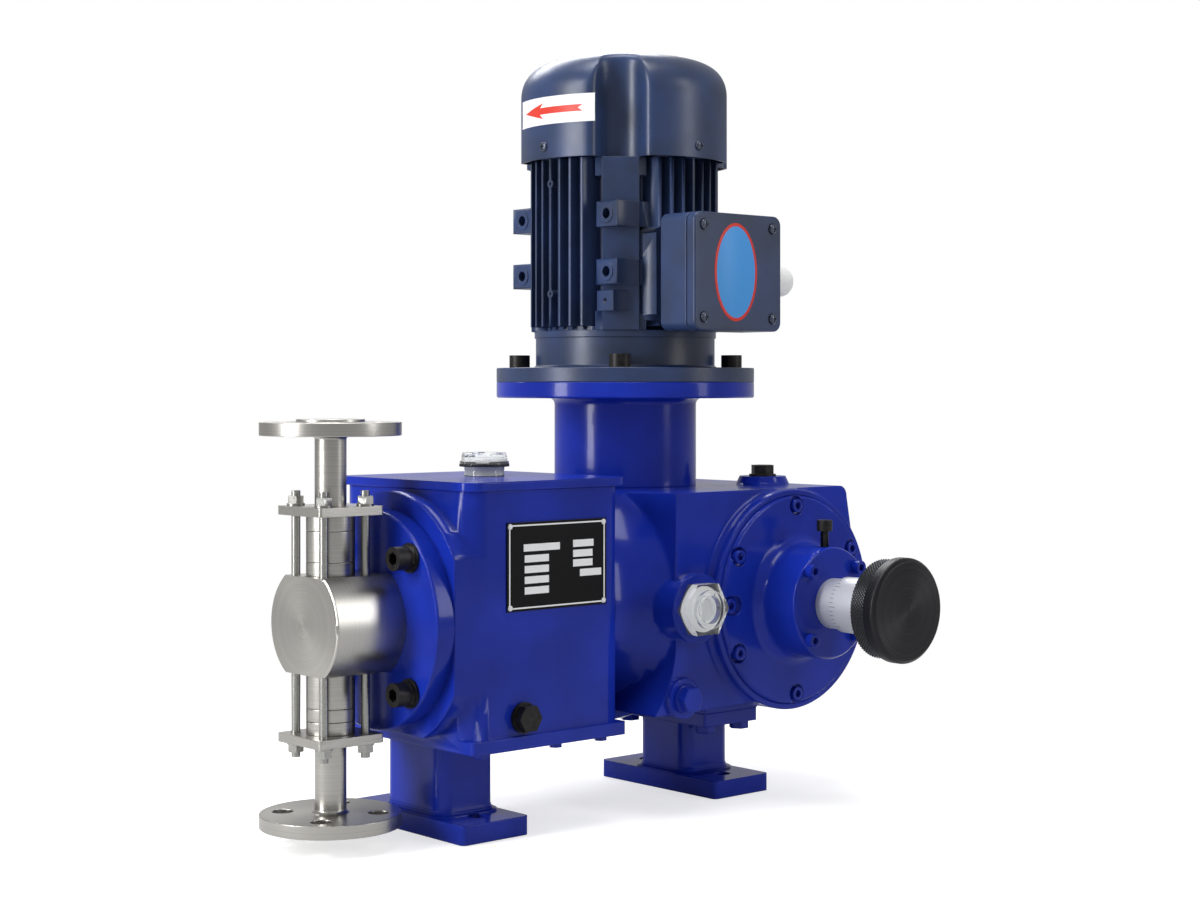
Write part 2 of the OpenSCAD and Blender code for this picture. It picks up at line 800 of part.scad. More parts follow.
// Stainless pump head with the cross bore for the valves and the stuffing box
module pump_head() color(stainless) difference() {
  union() {
    intersection() {
      along_x(head_front_x) rotate_extrude() polygon([
        [0, 0], [head_r - 1.5, 0], [head_r, 1.5], [head_r, head_len], [0, head_len]]);
      translate([head_front_x - 1, -head_r - 1, axis_h - head_flat])
        cube([head_len + 2, 2 * head_r + 2, 2 * head_flat]);
    }
    along_x(head_back_x - eps) cylinder(h = head_spigot_len, r = head_spigot_r);
  }
  translate([pipe_x, 0, axis_h - head_flat - 1])
    cylinder(h = 2 * head_flat + 2, r = cage_bore_r - 1);
  along_x(pipe_x) cylinder(h = pipe_from_back, r = plunger_r + 0.5);
  along_x(head_back_x - packing_len) cylinder(h = packing_len + 10, r = packing_r);
  for (sz = [-1, 1]) translate([pipe_x, 0, axis_h + sz * (head_flat - stud_deep / 2)])
    at_corners(stud_off) cylinder(h = stud_deep + 2, r = stud_r, center = true);
}

// Stack of packing rings round the plunger
module packing_rings() color("#d8d2c0") {
  r_in = plunger_r + run_fit;
  r_out = packing_r - run_fit;
  bow = 0.6;
  for (i = [0 : ring_count - 1])
    along_x(head_back_x - packing_len + i * ring_w) rotate_extrude() polygon([
      [r_in, bow], [(r_in + r_out) / 2, 0], [r_out, bow],
      [r_out, ring_w - 0.1], [(r_in + r_out) / 2, ring_w - 0.1 - bow], [r_in, ring_w - 0.1]]);
}

// Follower that presses on the packing
module packing_gland() color("#a8863c") {
  stack = ring_count * ring_w;
  sleeve = packing_len + head_spigot_len - stack;
  along_x(head_back_x - packing_len + stack) {
    tube(packing_r - run_fit, plunger_r + run_fit, sleeve);
    translate([0, 0, sleeve - eps])
      tube(gland_r, plunger_r + run_fit, head_flange_t + 4 - head_spigot_len);
  }
}

// Seat rings of the two ball valves
module valve_seats() color(stainless) {
  translate([pipe_x, 0, axis_h + head_flat]) tube(valve_r, seat_bore_r, discharge_seat_h);
  translate([pipe_x, 0, suction_seat_z]) tube(valve_r, seat_bore_r, suction_seat_h);
}

// One ball cage: a bore with four guide ribs that close over the ball as a stop
module ball_cage(h) {
  stop_z = ball_seat_h + ball_r + ball_lift + face_gap;
  tube(valve_r, cage_bore_r, h);
  for (a = [0 : 90 : 270]) rotate(a) {
    difference() {
      translate([0, -rib_t / 2, 0]) cube([cage_bore_r + 1, rib_t, h]);
      translate([0, 0, -eps]) cylinder(h = h + 2 * eps, r = cage_rib_r);
    }
    difference() {
      translate([0, -rib_t / 2, stop_z]) cube([cage_bore_r + 1, rib_t, h - stop_z]);
      translate([0, 0, stop_z - eps]) cylinder(h = h, r = 2.5);
    }
  }
}

// Cages of the two ball valves
module valve_cages() color(stainless) {
  translate([pipe_x, 0, axis_h + head_flat + discharge_seat_h]) ball_cage(discharge_cage_h);
  translate([pipe_x, 0, axis_h - head_flat - suction_cage_h]) ball_cage(suction_cage_h);
}

// Valve balls
module discharge_ball() color("#c9ccd0")
  translate([pipe_x, 0, axis_h + head_flat + discharge_seat_h + ball_seat_h]) sphere(ball_r);
module suction_ball() color("#c9ccd0")
  translate([pipe_x, 0, axis_h - head_flat - suction_cage_h + ball_seat_h]) sphere(ball_r);

// Pipe with its flange at local z = 0 and its collar against the valve at the far end
module connector(collar_h) {
  flange_top = raised_face_t + pipe_flange_t;
  yoke_top = flange_reach - yoke_reach;
  weld = 2;
  difference() {
    union() {
      cylinder(h = raised_face_t, r = raised_face_r);
      translate([0, 0, raised_face_t - eps]) cylinder(h = pipe_flange_t, r = pipe_flange_r);
      translate([0, 0, raised_face_t]) cylinder(h = yoke_top, r = pipe_r);
      rotate_extrude() polygon([[0, flange_top - eps], [pipe_r + weld, flange_top - eps],
        [pipe_r, flange_top + weld], [0, flange_top + weld]]);
      translate([0, 0, yoke_top]) cylinder(h = collar_h, r = valve_r);
    }
    translate([0, 0, -1]) cylinder(h = flange_reach, r = pipe_bore_r);
    on_diagonals(pipe_flange_bolt_r) translate([0, 0, -1])
      cylinder(h = flange_top + 2, r = pipe_flange_hole_r);
  }
}

// Upper and lower pipe connections
module discharge_connector() color(stainless)
  translate([pipe_x, 0, axis_h + flange_reach]) mirror([0, 0, 1]) connector(discharge_collar_h);
module suction_connector() color(stainless)
  translate([pipe_x, 0, axis_h - flange_reach]) connector(suction_collar_h);

// Square plates that clamp the valves
module valve_yokes() color(stainless)
  for (z = [axis_h + yoke_reach, axis_h - yoke_reach - yoke_t])
    difference() {
      round_block(pipe_x, 0, z, 2 * yoke_half, 2 * yoke_half, yoke_t, 2);
      translate([pipe_x, 0, z - 1]) {
        cylinder(h = yoke_t + 2, r = pipe_r + 0.3);
        at_corners(stud_off) cylinder(h = yoke_t + 2, r = stud_r + 0.3);
      }
    }

// Puts a shape at each stud above the axis and its mirror image below
module stud_places() {
  for (s = [0, 1]) translate([pipe_x, 0, axis_h]) mirror([0, 0, s]) at_corners(stud_off) children();
}

// Studs between the head and the yokes
module yoke_studs() color("#8f9092") {
  start = head_flat - stud_deep;
  reach = yoke_reach + yoke_t + washer_t + nut_h + stud_beyond;
  stud_places() translate([0, 0, start]) cylinder(h = reach - start, r = stud_r - seat_fit);
}

// A washer and a hexagon nut on each stud
module yoke_nuts() color("#9c9d9f") stud_places() translate([0, 0, yoke_reach + yoke_t]) {
  tube(nut_af * 0.6, stud_r + seat_fit, washer_t);
  translate([0, 0, washer_t]) difference() {
    hex(nut_af, nut_h);
    translate([0, 0, -eps]) cylinder(h = nut_h + 2 * eps, r = stud_r + seat_fit);
  }
}

// Plunger, screwed into the crosshead
module plunger() color("#cfd2d4") along_x(plunger_front_x)
  cylinder(h = crosshead_front_x + plunger_seat - plunger_front_x, r = plunger_r);

// Crosshead: a round slider with a fork for the connecting rod
module crosshead() color("#8a8d92") difference() {
  along_x(crosshead_front_x) cylinder(h = crosshead_len, r = guide_r - run_fit);
  translate([crosshead_front_x + crosshead_web, -fork_half, axis_h - guide_r - 1])
    cube([crosshead_len, 2 * fork_half, 2 * guide_r + 2]);
  along_x(crosshead_front_x - 1) cylinder(h = plunger_seat + 1, r = plunger_r + seat_fit);
  along_y(pin_x, -guide_r) cylinder(h = 2 * guide_r, r = pin_r + seat_fit);
}

// Two ends of the crosshead pin, one in each cheek of the fork
module crosshead_pin() color("#55585c") {
  inner = fork_half + face_gap;
  outer = guide_r - 3;
  for (s = [0, 1]) mirror([0, s, 0]) along_y(pin_x, inner) cylinder(h = outer - inner, r = pin_r);
}

// Connecting rod: ring on the eccentric disc, shank and small eye
module connecting_rod() color("#77797d") difference() {
  union() {
    along_y(wheel_x, -rod_t / 2) cylinder(h = rod_t, r = rod_ring_r);
    along_y(pin_x, -rod_t / 2) cylinder(h = rod_t, r = rod_eye_r);
    translate([pin_x, -rod_t / 3, axis_h - rod_t / 2])
      cube([wheel_x - pin_x, rod_t * 2 / 3, rod_t]);
  }
  along_y(wheel_x, -rod_t) cylinder(h = 2 * rod_t, r = disc_r + run_fit);
  along_y(pin_x, -rod_t) cylinder(h = 2 * rod_t, r = pin_r + run_fit);
}

// Outline of the gearbox seen from the front, moved inwards by a wall; wheel axis at 0,0
module gear_outline(inset) {
  flare_r = (flare_h * flare_h + flare_w * flare_w) / (2 * flare_w);
  left = -gear_left + inset;
  bottom = -gear_below + inset;
  right = gear_right - inset;
  top = gear_above - inset;
  steps = 8;
  arc = [for (i = [0 : steps]) let (t = flare_h * i / steps)
    [left - flare_r + sqrt(flare_r * flare_r - t * t), bottom + flare_h - t]];
  circle(cover_ring_r - inset);
  polygon(concat(arc, [[0, bottom], [cover_ring_r - slope_out - inset, slope_start_z],
    [right, top - gear_corner], [right - gear_corner, top], [left, top]]));
  translate([right - gear_corner, top - gear_corner]) circle(gear_corner);
}

// Gearbox casting with its flared neck, the ring round the cover and the plug bosses
module gearbox_housing() color(casting_blue) difference() {
  union() {
    difference() {
      gearbox_casting();
      gear_solid(gear_wall, gear_front + gear_back - 2 * gear_wall);
    }
    along_y(wheel_x, back_bearing_y - back_seat_rim)
      cylinder(h = bearing_w, r = bearing_r + bearing_boss_wall);
  }
  along_x(box_back_x - 1) cylinder(h = neck_len + gear_wall + 3, r = rod_way_r);
  along_y(wheel_x, cover_back_y - ring_front - 1) cylinder(h = ring_front + 1, r = cover_r + face_gap);
  along_y(wheel_x, cover_back_y - 1) cylinder(h = gear_wall + 2, r = cover_spigot_r + spigot_fit);
  along_y(wheel_x, back_bearing_y - back_seat_rim - 1)
    cylinder(h = bearing_w + back_seat_rim + 1 + face_gap, r = bearing_r);
  translate([worm_x, wheel_y, gear_top - gear_wall - 1])
    cylinder(h = gear_wall + 2, r = lantern_spigot_r + spigot_fit);
  for (a = cover_angles) cover_bolt(a) translate([0, 0, -2])
    cylinder(h = cover_screw_len, r = cover_screw_r);
  along_y(sight_x, cover_back_y - ring_front - 1, axis_h) cylinder(h = 40, r = sight_r);
  along_y(gear_plug_x, cover_back_y - gear_plug_boss_h - 1, gear_plug_z)
    cylinder(h = 22, r = plug_thread_r + spigot_fit);
  translate([vent_x, vent_y, gear_top - gear_wall - 1])
    cylinder(h = gear_wall + vent_boss_h + 2, r = vent_r);
  rear_foot_bolts() translate([0, 0, foot_flange_t]) cylinder(h = 9, r = foot_bolt_r + screw_fit);
  worm_seat();
}

// Outside of the gearbox casting
module gearbox_casting() {
  gear_solid(0, gear_front + gear_back);
  flared_neck();
  cover_ring();
  along_y(sight_x, cover_back_y - ring_front, axis_h) cylinder(h = 30, r = sight_boss_r);
  along_y(gear_plug_x, cover_back_y - gear_plug_boss_h, gear_plug_z)
    cylinder(h = 20, r = gear_plug_boss_r);
  translate([vent_x, vent_y, gear_top - eps])
    cylinder(h = vent_boss_h, r1 = vent_boss_r + 3, r2 = vent_boss_r);
  translate([rear_foot_x - foot_flange_len / 2, -foot_flange_wid / 2, rear_seat_z])
    cube([foot_flange_len, foot_flange_wid, gear_bottom - rear_seat_z + 2]);
  along_y(wheel_x, gear_back - eps) cylinder(h = back_boss_h, r = back_boss_r);
}

// Body of the gearbox, from its front wall backwards
module gear_solid(inset, depth) {
  along_y(wheel_x, cover_back_y + inset) mirror([0, 1, 0]) linear_extrude(depth) gear_outline(inset);
}

// Neck that widens in a hollow curve from the crosshead box to the gearbox
module flared_neck() {
  rise = neck_flare_r - neck_r;
  bend = (neck_len * neck_len + rise * rise) / (2 * rise);
  sunk = 6;
  steps = 9;
  curve = [for (i = [0 : steps]) let (t = neck_len * i / steps)
    [neck_r + bend - sqrt(bend * bend - t * t), t]];
  intersection() {
    along_x(box_back_x) rotate_extrude()
      polygon(concat([[0, 0]], curve, [[neck_flare_r, neck_len + sunk], [0, neck_len + sunk]]));
    translate([box_back_x - 1, -gear_front, axis_h - neck_flare_r])
      cube([neck_len + sunk + 2, 2 * gear_front, neck_flare_r + gear_above]);
  }
}

// Raised ring of the casting that surrounds the gear cover, kept inside the gearbox outline
module cover_ring() {
  cove = 4;
  intersection() {
    along_y(wheel_x, cover_back_y) mirror([0, 0, 1]) rotate_extrude() polygon([
      [cover_r - cove, -cove], [cover_ring_r + cove, -cove], [cover_ring_r + cove, 0],
      [cover_ring_r + 0.3 * cove, 0.3 * cove], [cover_ring_r, cove], [cover_ring_r, ring_front - 1],
      [cover_ring_r - 1, ring_front], [cover_r - cove, ring_front]]);
    along_y(wheel_x, cover_back_y - ring_front) mirror([0, 1, 0])
      linear_extrude(2 * ring_front) gear_outline(0);
  }
}

// Puts a shape on one of the cover's bolt places, its local Z pointing into the gearbox
module cover_bolt(a) {
  translate([wheel_x + cover_bolt_r * cos(a), cover_back_y, axis_h + cover_bolt_r * sin(a)])
    rotate([-90, 0, 0]) children();
}

// Gear cover with its hub, the bearing boss and the bore of the stroke mechanism
module gear_cover() color(casting_blue) {
  boss_r = bearing_r + bearing_boss_wall;
  difference() {
    union() {
      along_y(wheel_x, cover_back_y) mirror([0, 0, 1]) rotate_extrude() polygon(concat([
        [0, 0], [cover_r - 1, 0], [cover_r, 1], [cover_r, cover_t - 2.5], [cover_r - 2.5, cover_t]],
        hub_fillet(), [[hub_r, cover_t + hub_len - 1.5], [hub_r - 1.5, cover_t + hub_len],
        [0, cover_t + hub_len]]));
      along_y(wheel_x, cover_back_y - eps) cylinder(h = gear_wall + 2, r = cover_spigot_r);
      along_y(wheel_x, cover_back_y)
        cylinder(h = front_bearing_y + bearing_w - cover_back_y + 1, r = boss_r);
    }
    along_y(wheel_x, cover_back_y + gear_wall - 4)
      tube(cover_spigot_r - bearing_boss_wall, boss_r, 20);
    along_y(wheel_x, front_bearing_y - face_gap) cylinder(h = bearing_w + 20, r = bearing_r);
    along_y(wheel_x, block_front_y - 4) cylinder(h = 60, r = block_r + run_fit);
    along_y(wheel_x, hub_face_y - 1) cylinder(h = hub_len + 1, r = screw_r + 1);
    along_y(wheel_x, hub_face_y - 1) cylinder(h = sleeve_seat + 1, r = sleeve_r + seat_fit);
    for (a = cover_angles) cover_bolt(a) translate([0, 0, -cover_t - 1]) {
      cylinder(h = cover_t + 2, r = cover_screw_r + 0.4);
      cylinder(h = recess_t + 1, r = recess_r);
    }
    for (s = [-1, 1]) cover_bolt(90 - 90 * s) translate([0, 0, -cover_t - 1]) {
      translate([-s * recess_run, 0, 0]) cylinder(h = recess_t + 1, r = recess_r);
      translate([-s * recess_run / 2, 0, (recess_t + 1) / 2])
        cube([recess_run, 2 * recess_r, recess_t + 1], center = true);
    }
    hub_screw_places() translate([0, 0, -hub_screw_len - 1])
      cylinder(h = hub_screw_len + 2, r = cover_screw_r);
    translate([wheel_x, lock_y, axis_h + sleeve_r]) cylinder(h = hub_r, r = lock_r + run_fit);
  }
}

// Hollow curve between the cover plate and its hub, as radius and height
function hub_fillet() = [for (i = [0 : 6]) let (a = 15 * i, r = 9)
  [hub_r + r - r * sin(a), cover_t + r - r * cos(a)]];

// Puts a shape on each screw place of the hub, its local Z pointing out of the hub
module hub_screw_places() {
  along_y(wheel_x, hub_face_y) rotate([180, 0, 0]) at_corners(hub_screw_off) children();
}

// Socket screws of the cover and of its hub
module cover_screws() color(casting_blue) {
  for (a = cover_angles) cover_bolt(a) translate([0, 0, recess_t - cover_t]) rotate([180, 0, 0])
    socket_screw(cover_screw_r - screw_fit, cover_screw_len, cover_head_r, 5.5, screw_af);
  hub_screw_places()
    socket_screw(cover_screw_r - screw_fit, hub_screw_len, cover_head_r, 6, screw_af);
}

// Screw that locks the stroke setting
module lock_screw() color(black_oxide) translate([wheel_x, lock_y, axis_h + lock_reach])
  socket_screw(lock_r, lock_reach - sleeve_r - face_gap, 5.75, 8, screw_af);

// Fixed sleeve with the stroke scale and the nut of the adjusting screw
module scale_sleeve() color(dial_silver) along_y(wheel_x, sleeve_end_y - sleeve_nose)
  tube(sleeve_r, screw_r + run_fit, sleeve_nose + sleeve_len + sleeve_seat);

// Clear hexagon sight glass
module sight_glass() color(clear_plastic, 0.6) along_y(sight_x, cover_back_y - ring_front, axis_h) {
  lens = 3;
  difference() {
    union() {
      translate([0, 0, -sight_h]) hex(sight_af, sight_h);
      translate([0, 0, -sight_h - lens]) cylinder(h = lens + eps, r = sight_r + 2);
      translate([0, 0, -eps]) cylinder(h = 14, r = sight_r - spigot_fit);
    }
    translate([0, 0, -sight_h - lens - eps]) cylinder(h = lens + 2, r = sight_r - 2);
  }
}

// Drain plug of the gearbox
module gearbox_drain_plug() color(casting_blue)
  along_y(gear_plug_x, cover_back_y - gear_plug_boss_h, gear_plug_z) screw_plug(12);

// Vent plug on top of the gearbox, with its washer
module vent_plug() color(black_oxide) translate([vent_x, vent_y, gear_top + vent_boss_h]) {
  washer = 1.5;
  cylinder(h = washer, r = 10.5);
  translate([0, 0, washer - eps]) hex(15.5, 7);
  translate([0, 0, -12]) cylinder(h = 12 + eps, r = vent_r - spigot_fit);
}

// Bearings of the wheel spindle, one in the cover and one in the back wall
module wheel_bearings() color(bearing_steel) for (y = [front_bearing_y, back_bearing_y])
  along_y(wheel_x, y) bearing(bearing_seat_r + run_fit, bearing_r - seat_fit, bearing_w);

// Bronze worm wheel; a gap between teeth faces the worm
module worm_wheel() color("#b08d45") {
  pitch = 360 / wheel_teeth;
  slant = -wheel_wid * lead_slope / wheel_pitch_r * 180 / PI;
  root = wheel_pitch_r - dedendum;
  tip = wheel_pitch_r + addendum;
  first = 180 - pitch / 2;
  web_r = (spindle_r + root) / 2;
  outline = [for (i = [0 : wheel_teeth - 1], c = [[-1, root, tooth_root_w], [-1, tip, tooth_tip_w],
    [1, tip, tooth_tip_w], [1, root, tooth_root_w]])
    let (a = first - i * pitch - c[0] * asin(c[2] / 2 / c[1])) [c[1] * cos(a), c[1] * sin(a)]];
  along_y(wheel_x, wheel_y - wheel_wid / 2) rotate(slant / 2) difference() {
    linear_extrude(wheel_wid, twist = slant, slices = 4) polygon(outline);
    translate([0, 0, -1]) cylinder(h = wheel_wid + 2, r = spindle_r + seat_fit);
    for (a = [0 : 60 : 300]) rotate(a) translate([web_r, 0, -1]) cylinder(h = wheel_wid + 2, r = 4);
  }
}

// Slotted hollow spindle that carries the worm wheel and the eccentric disc
module wheel_spindle() color(ground_steel) {
  slot_y = n_travel + disc_t / 2 + 3;
  barrel_y = front_bearing_y + bearing_w + face_gap;
  difference() {
    union() {
      along_y(wheel_x, spindle_front_y)
        cylinder(h = spindle_back_y - spindle_front_y, r = bearing_seat_r);
      along_y(wheel_x, barrel_y) cylinder(h = back_bearing_y - face_gap - barrel_y, r = spindle_r);
    }
    along_y(wheel_x, spindle_front_y - 1) cylinder(h = 2 * gear_front, r = n_shaft_r + run_fit);
    translate([wheel_x - slot_half, -slot_y, axis_h - spindle_r - 1])
      cube([2 * slot_half, 2 * slot_y, 2 * spindle_r + 2]);
  }
}

// N-shaft: two round ends joined by a slanting bar that shifts the eccentric disc
module n_shaft() color("#a2a5aa") {
  bar_back = disc_t / 2 + face_gap;
  bar_front = -bar_back - n_travel;
  along_y(wheel_x, shaft_collar_y) cylinder(h = bar_front - shaft_collar_y, r = n_shaft_r);
  along_y(wheel_x, shaft_collar_y) cylinder(h = collar_t, r = collar_r);
  along_y(wheel_x, bar_back) cylinder(h = n_shaft_tail, r = n_shaft_r);
  slanted_bar(bar_front - 2, bar_back + 2, bar_half, bar_wid);
}

// Bar in the plane of the spindle slot; its middle line crosses the axis at y = 0
module slanted_bar(y0, y1, half, wid) {
  translate([wheel_x + wid / 2, 0, axis_h]) rotate([90, 0, -90]) linear_extrude(wid) polygon([
    [-y0, y0 / shaft_slope - half], [-y1, y1 / shaft_slope - half],
    [-y1, y1 / shaft_slope + half], [-y0, y0 / shaft_slope + half]]);
}

// Eccentric disc with a bridge across the spindle slot and two windows for the spindle's sides
module eccentric_disc() color("#7d8085") difference() {
  window_r = spindle_r + face_gap;
  along_y(wheel_x, -disc_t / 2) cylinder(h = disc_t, r = disc_r);
  difference() {
    along_y(wheel_x, -disc_t) linear_extrude(2 * disc_t) {
      circle(window_r);
      translate([0, -stroke / 2]) circle(window_r);
      translate([-window_r, -stroke / 2]) square([2 * window_r, stroke / 2]);
    }
    translate([wheel_x - bridge_half, -disc_t - 1, axis_h - disc_r])
      cube([2 * bridge_half, 2 * disc_t + 2, 2 * disc_r]);
  }
  slanted_bar(-disc_t, disc_t, bar_half + bar_play, bar_wid + 2 * bar_play);
}

// Block with a bearing at each end, between the turning screw and the turning N-shaft
module thrust_block() color("#8f6f35") along_y(wheel_x, block_front_y) difference() {
  cylinder(h = block_len, r = block_r);
  translate([0, 0, -1]) cylinder(h = 8, r = screw_r + face_gap);
  for (y = [screw_collar_y, shaft_collar_y]) translate([0, 0, y - block_front_y - face_gap])
    cylinder(h = collar_t + 2 * face_gap, r = collar_r + face_gap);
  translate([0, 0, shaft_collar_y - block_front_y]) cylinder(h = block_len, r = n_shaft_r + face_gap);
}

// Stroke knob: a smooth front disc and a narrower grip band behind it
module stroke_knob() color(black_oxide) along_y(wheel_x, knob_face_y) difference() {
  rotate_extrude() polygon([
    [0, 0], [knob_r - 2.5, 0], [knob_r, 2.5], [knob_r, knob_rim_len - 1],
    [knob_r - 1, knob_rim_len], [grip_r, knob_rim_len + 0.5], [grip_r, knob_len - 1.5],
    [grip_r - 1.5, knob_len], [0, knob_len]]);
  translate([0, 0, screw_sunk]) cylinder(h = knob_len, r = screw_r + seat_fit);
}

// Turning dial that slides over the fixed sleeve
module stroke_dial() color(dial_silver) along_y(wheel_x, knob_back_y) difference() {
  len = dial_start_y - knob_back_y;
  cylinder(h = len, r = dial_r);
  translate([0, 0, -1]) cylinder(h = len + 2, r = screw_r + seat_fit);
  translate([0, 0, len - n_travel - sleeve_nose - 1.5])
    cylinder(h = n_travel + sleeve_nose + 2.5, r = sleeve_r + 0.2);
}

// Adjusting screw with the collar that turns in the thrust block
module adjusting_screw() color("#9a9da1") {
  start = knob_face_y + screw_sunk + 0.5;
  along_y(wheel_x, start) cylinder(h = screw_collar_y + eps - start, r = screw_r);
  along_y(wheel_x, screw_collar_y) cylinder(h = collar_t, r = collar_r);
}

// Worm thread section: one tooth wrapped round the root circle
function worm_section(n) = [for (i = [0 : n - 1])
  let (a = -180 + 360 * i / n, p = abs(a) / 360 * worm_lead,
    k = (tooth_root_w / 2 - p) / (tooth_root_w / 2 - tooth_tip_w / 2),
    r = worm_root_r + (worm_tip_r - worm_root_r) * max(0, min(1, k)))
    [r * cos(a), r * sin(a)]];

// Worm shaft, from its lower bearing to the coupling
module worm_shaft() color(ground_steel) translate([worm_x, wheel_y, 0]) {
  turns = worm_len / worm_lead;
  corners = 24;
  thread_low = axis_h - worm_len / 2;
  thread_top = axis_h + worm_len / 2 - eps;
  translate([0, 0, thread_low]) rotate(-180 * turns)
    linear_extrude(worm_len, twist = -360 * turns, slices = ceil(turns * 12), $fn = corners)
      polygon(worm_section(corners));
  translate([0, 0, shaft_low_z]) cylinder(h = thread_low - shaft_low_z + eps, r = worm_shaft_r);
  translate([0, 0, thread_top])
    cylinder(h = coupling_z + coupling_half - thread_top, r = worm_shaft_r);
}

// Seat of the lower worm bearing, a pocket in the floor; the lantern holds the upper bearing
module worm_seat() {
  translate([worm_x, wheel_y, worm_low_z])
    cylinder(h = worm_bearing_w + worm_seat_deep, r = worm_bearing_r);
}

// Bearings of the worm shaft
module worm_bearings() color(bearing_steel) for (z = [worm_low_z, worm_high_z])
  translate([worm_x, wheel_y, z])
    bearing(worm_shaft_r + run_fit, worm_bearing_r - seat_fit, worm_bearing_w);

// Jaw coupling between the worm shaft and the motor shaft
module shaft_coupling() color("#5c5f63") translate([worm_x, wheel_y, coupling_z]) difference() {
  cylinder(h = 2 * coupling_half, r = coupling_r);
  translate([0, 0, -1]) cylinder(h = coupling_half + 1 + eps, r = worm_shaft_r + seat_fit);
  translate([0, 0, coupling_half + 0.5])
    cylinder(h = coupling_half + 1, r = motor_shaft_r + seat_fit);
  for (a = [0 : 60 : 120]) translate([0, 0, coupling_half]) rotate(a)
    cube([2 * coupling_r + 2, 3, 8], center = true);
}

// Lantern: hollow column with the motor's seat on top and a spigot that holds the upper bearing
module motor_lantern() color(casting_blue) translate([worm_x, wheel_y, 0]) difference() {
  union() {
    translate([0, 0, gear_top])
      cylinder(h = lantern_len - lantern_flange_t + eps, r = column_r);
    translate([0, 0, lantern_flange_z]) rotate_extrude() polygon([
      [0, 0], [motor_flange_r - 1, 0], [motor_flange_r, 1], [motor_flange_r, lantern_flange_t],
      [0, lantern_flange_t]]);
    rotate_extrude() polygon(concat([[0, lantern_flange_z + eps]], [for (i = [0 : 5])
      let (a = 18 * i, r = 5) [column_r + r - r * cos(a), lantern_flange_z - r + r * sin(a)]]));
    translate([0, 0, worm_high_z - 1])
      cylinder(h = gear_top - worm_high_z + 1 + eps, r = lantern_spigot_r);
  }
  translate([0, 0, gear_top + 4]) cylinder(h = lantern_len, r = column_r - lantern_wall);
  translate([0, 0, worm_high_z - 2])
    cylinder(h = worm_bearing_w + 2 + face_gap, r = worm_bearing_r);
  translate([0, 0, worm_high_z]) cylinder(h = 60, r = worm_shaft_r + 3);
  on_diagonals(motor_bolt_r) translate([0, 0, lantern_flange_z - 1])
    cylinder(h = lantern_flange_t + 2, r = flange_screw_r);
}

// Four socket screws through the motor flange
module motor_flange_bolts() color(black_oxide) translate([worm_x, wheel_y, shield_z])
  on_diagonals(motor_bolt_r)
    socket_screw(flange_screw_r - screw_fit, motor_flange_t + lantern_flange_t - 1, 8, 10, 8);

// Motor flange with the drive-end bearing seat
module motor_end_shield() color(motor_grey) translate([worm_x, wheel_y, motor_z]) difference() {
  top = motor_flange_t + shield_neck_len;
  rotate_extrude() polygon([
    [0, 0], [motor_flange_r - 0.5, 0], [motor_flange_r, 0.5], [motor_flange_r, motor_flange_t - 0.5],
    [motor_flange_r - 0.5, motor_flange_t], [shield_neck_r + 2, motor_flange_t],
    [shield_neck_r, motor_flange_t + 2], [shield_neck_r, top - 5], [shield_neck_r + 1, top - 5],
    [shield_neck_r + 1, top], [0, top]]);
  translate([0, 0, motor_flange_t]) tube(shield_neck_r - shield_wall, motor_bearing_r
    + bearing_wall, shield_neck_len + 1);
  translate([0, 0, lower_bearing_z + motor_bearing_w - motor_z])
    cylinder(h = shield_neck_len, r = motor_bearing_r + bearing_wall + 1);
  translate([0, 0, lower_bearing_z - motor_z - face_gap])
    cylinder(h = shield_neck_len, r = motor_bearing_r);
  translate([0, 0, -1]) cylinder(h = top + 2, r = motor_shaft_r + 4);
  on_diagonals(motor_bolt_r) translate([0, 0, -1])
    cylinder(h = motor_flange_t + 2, r = flange_screw_r + 0.5);
}

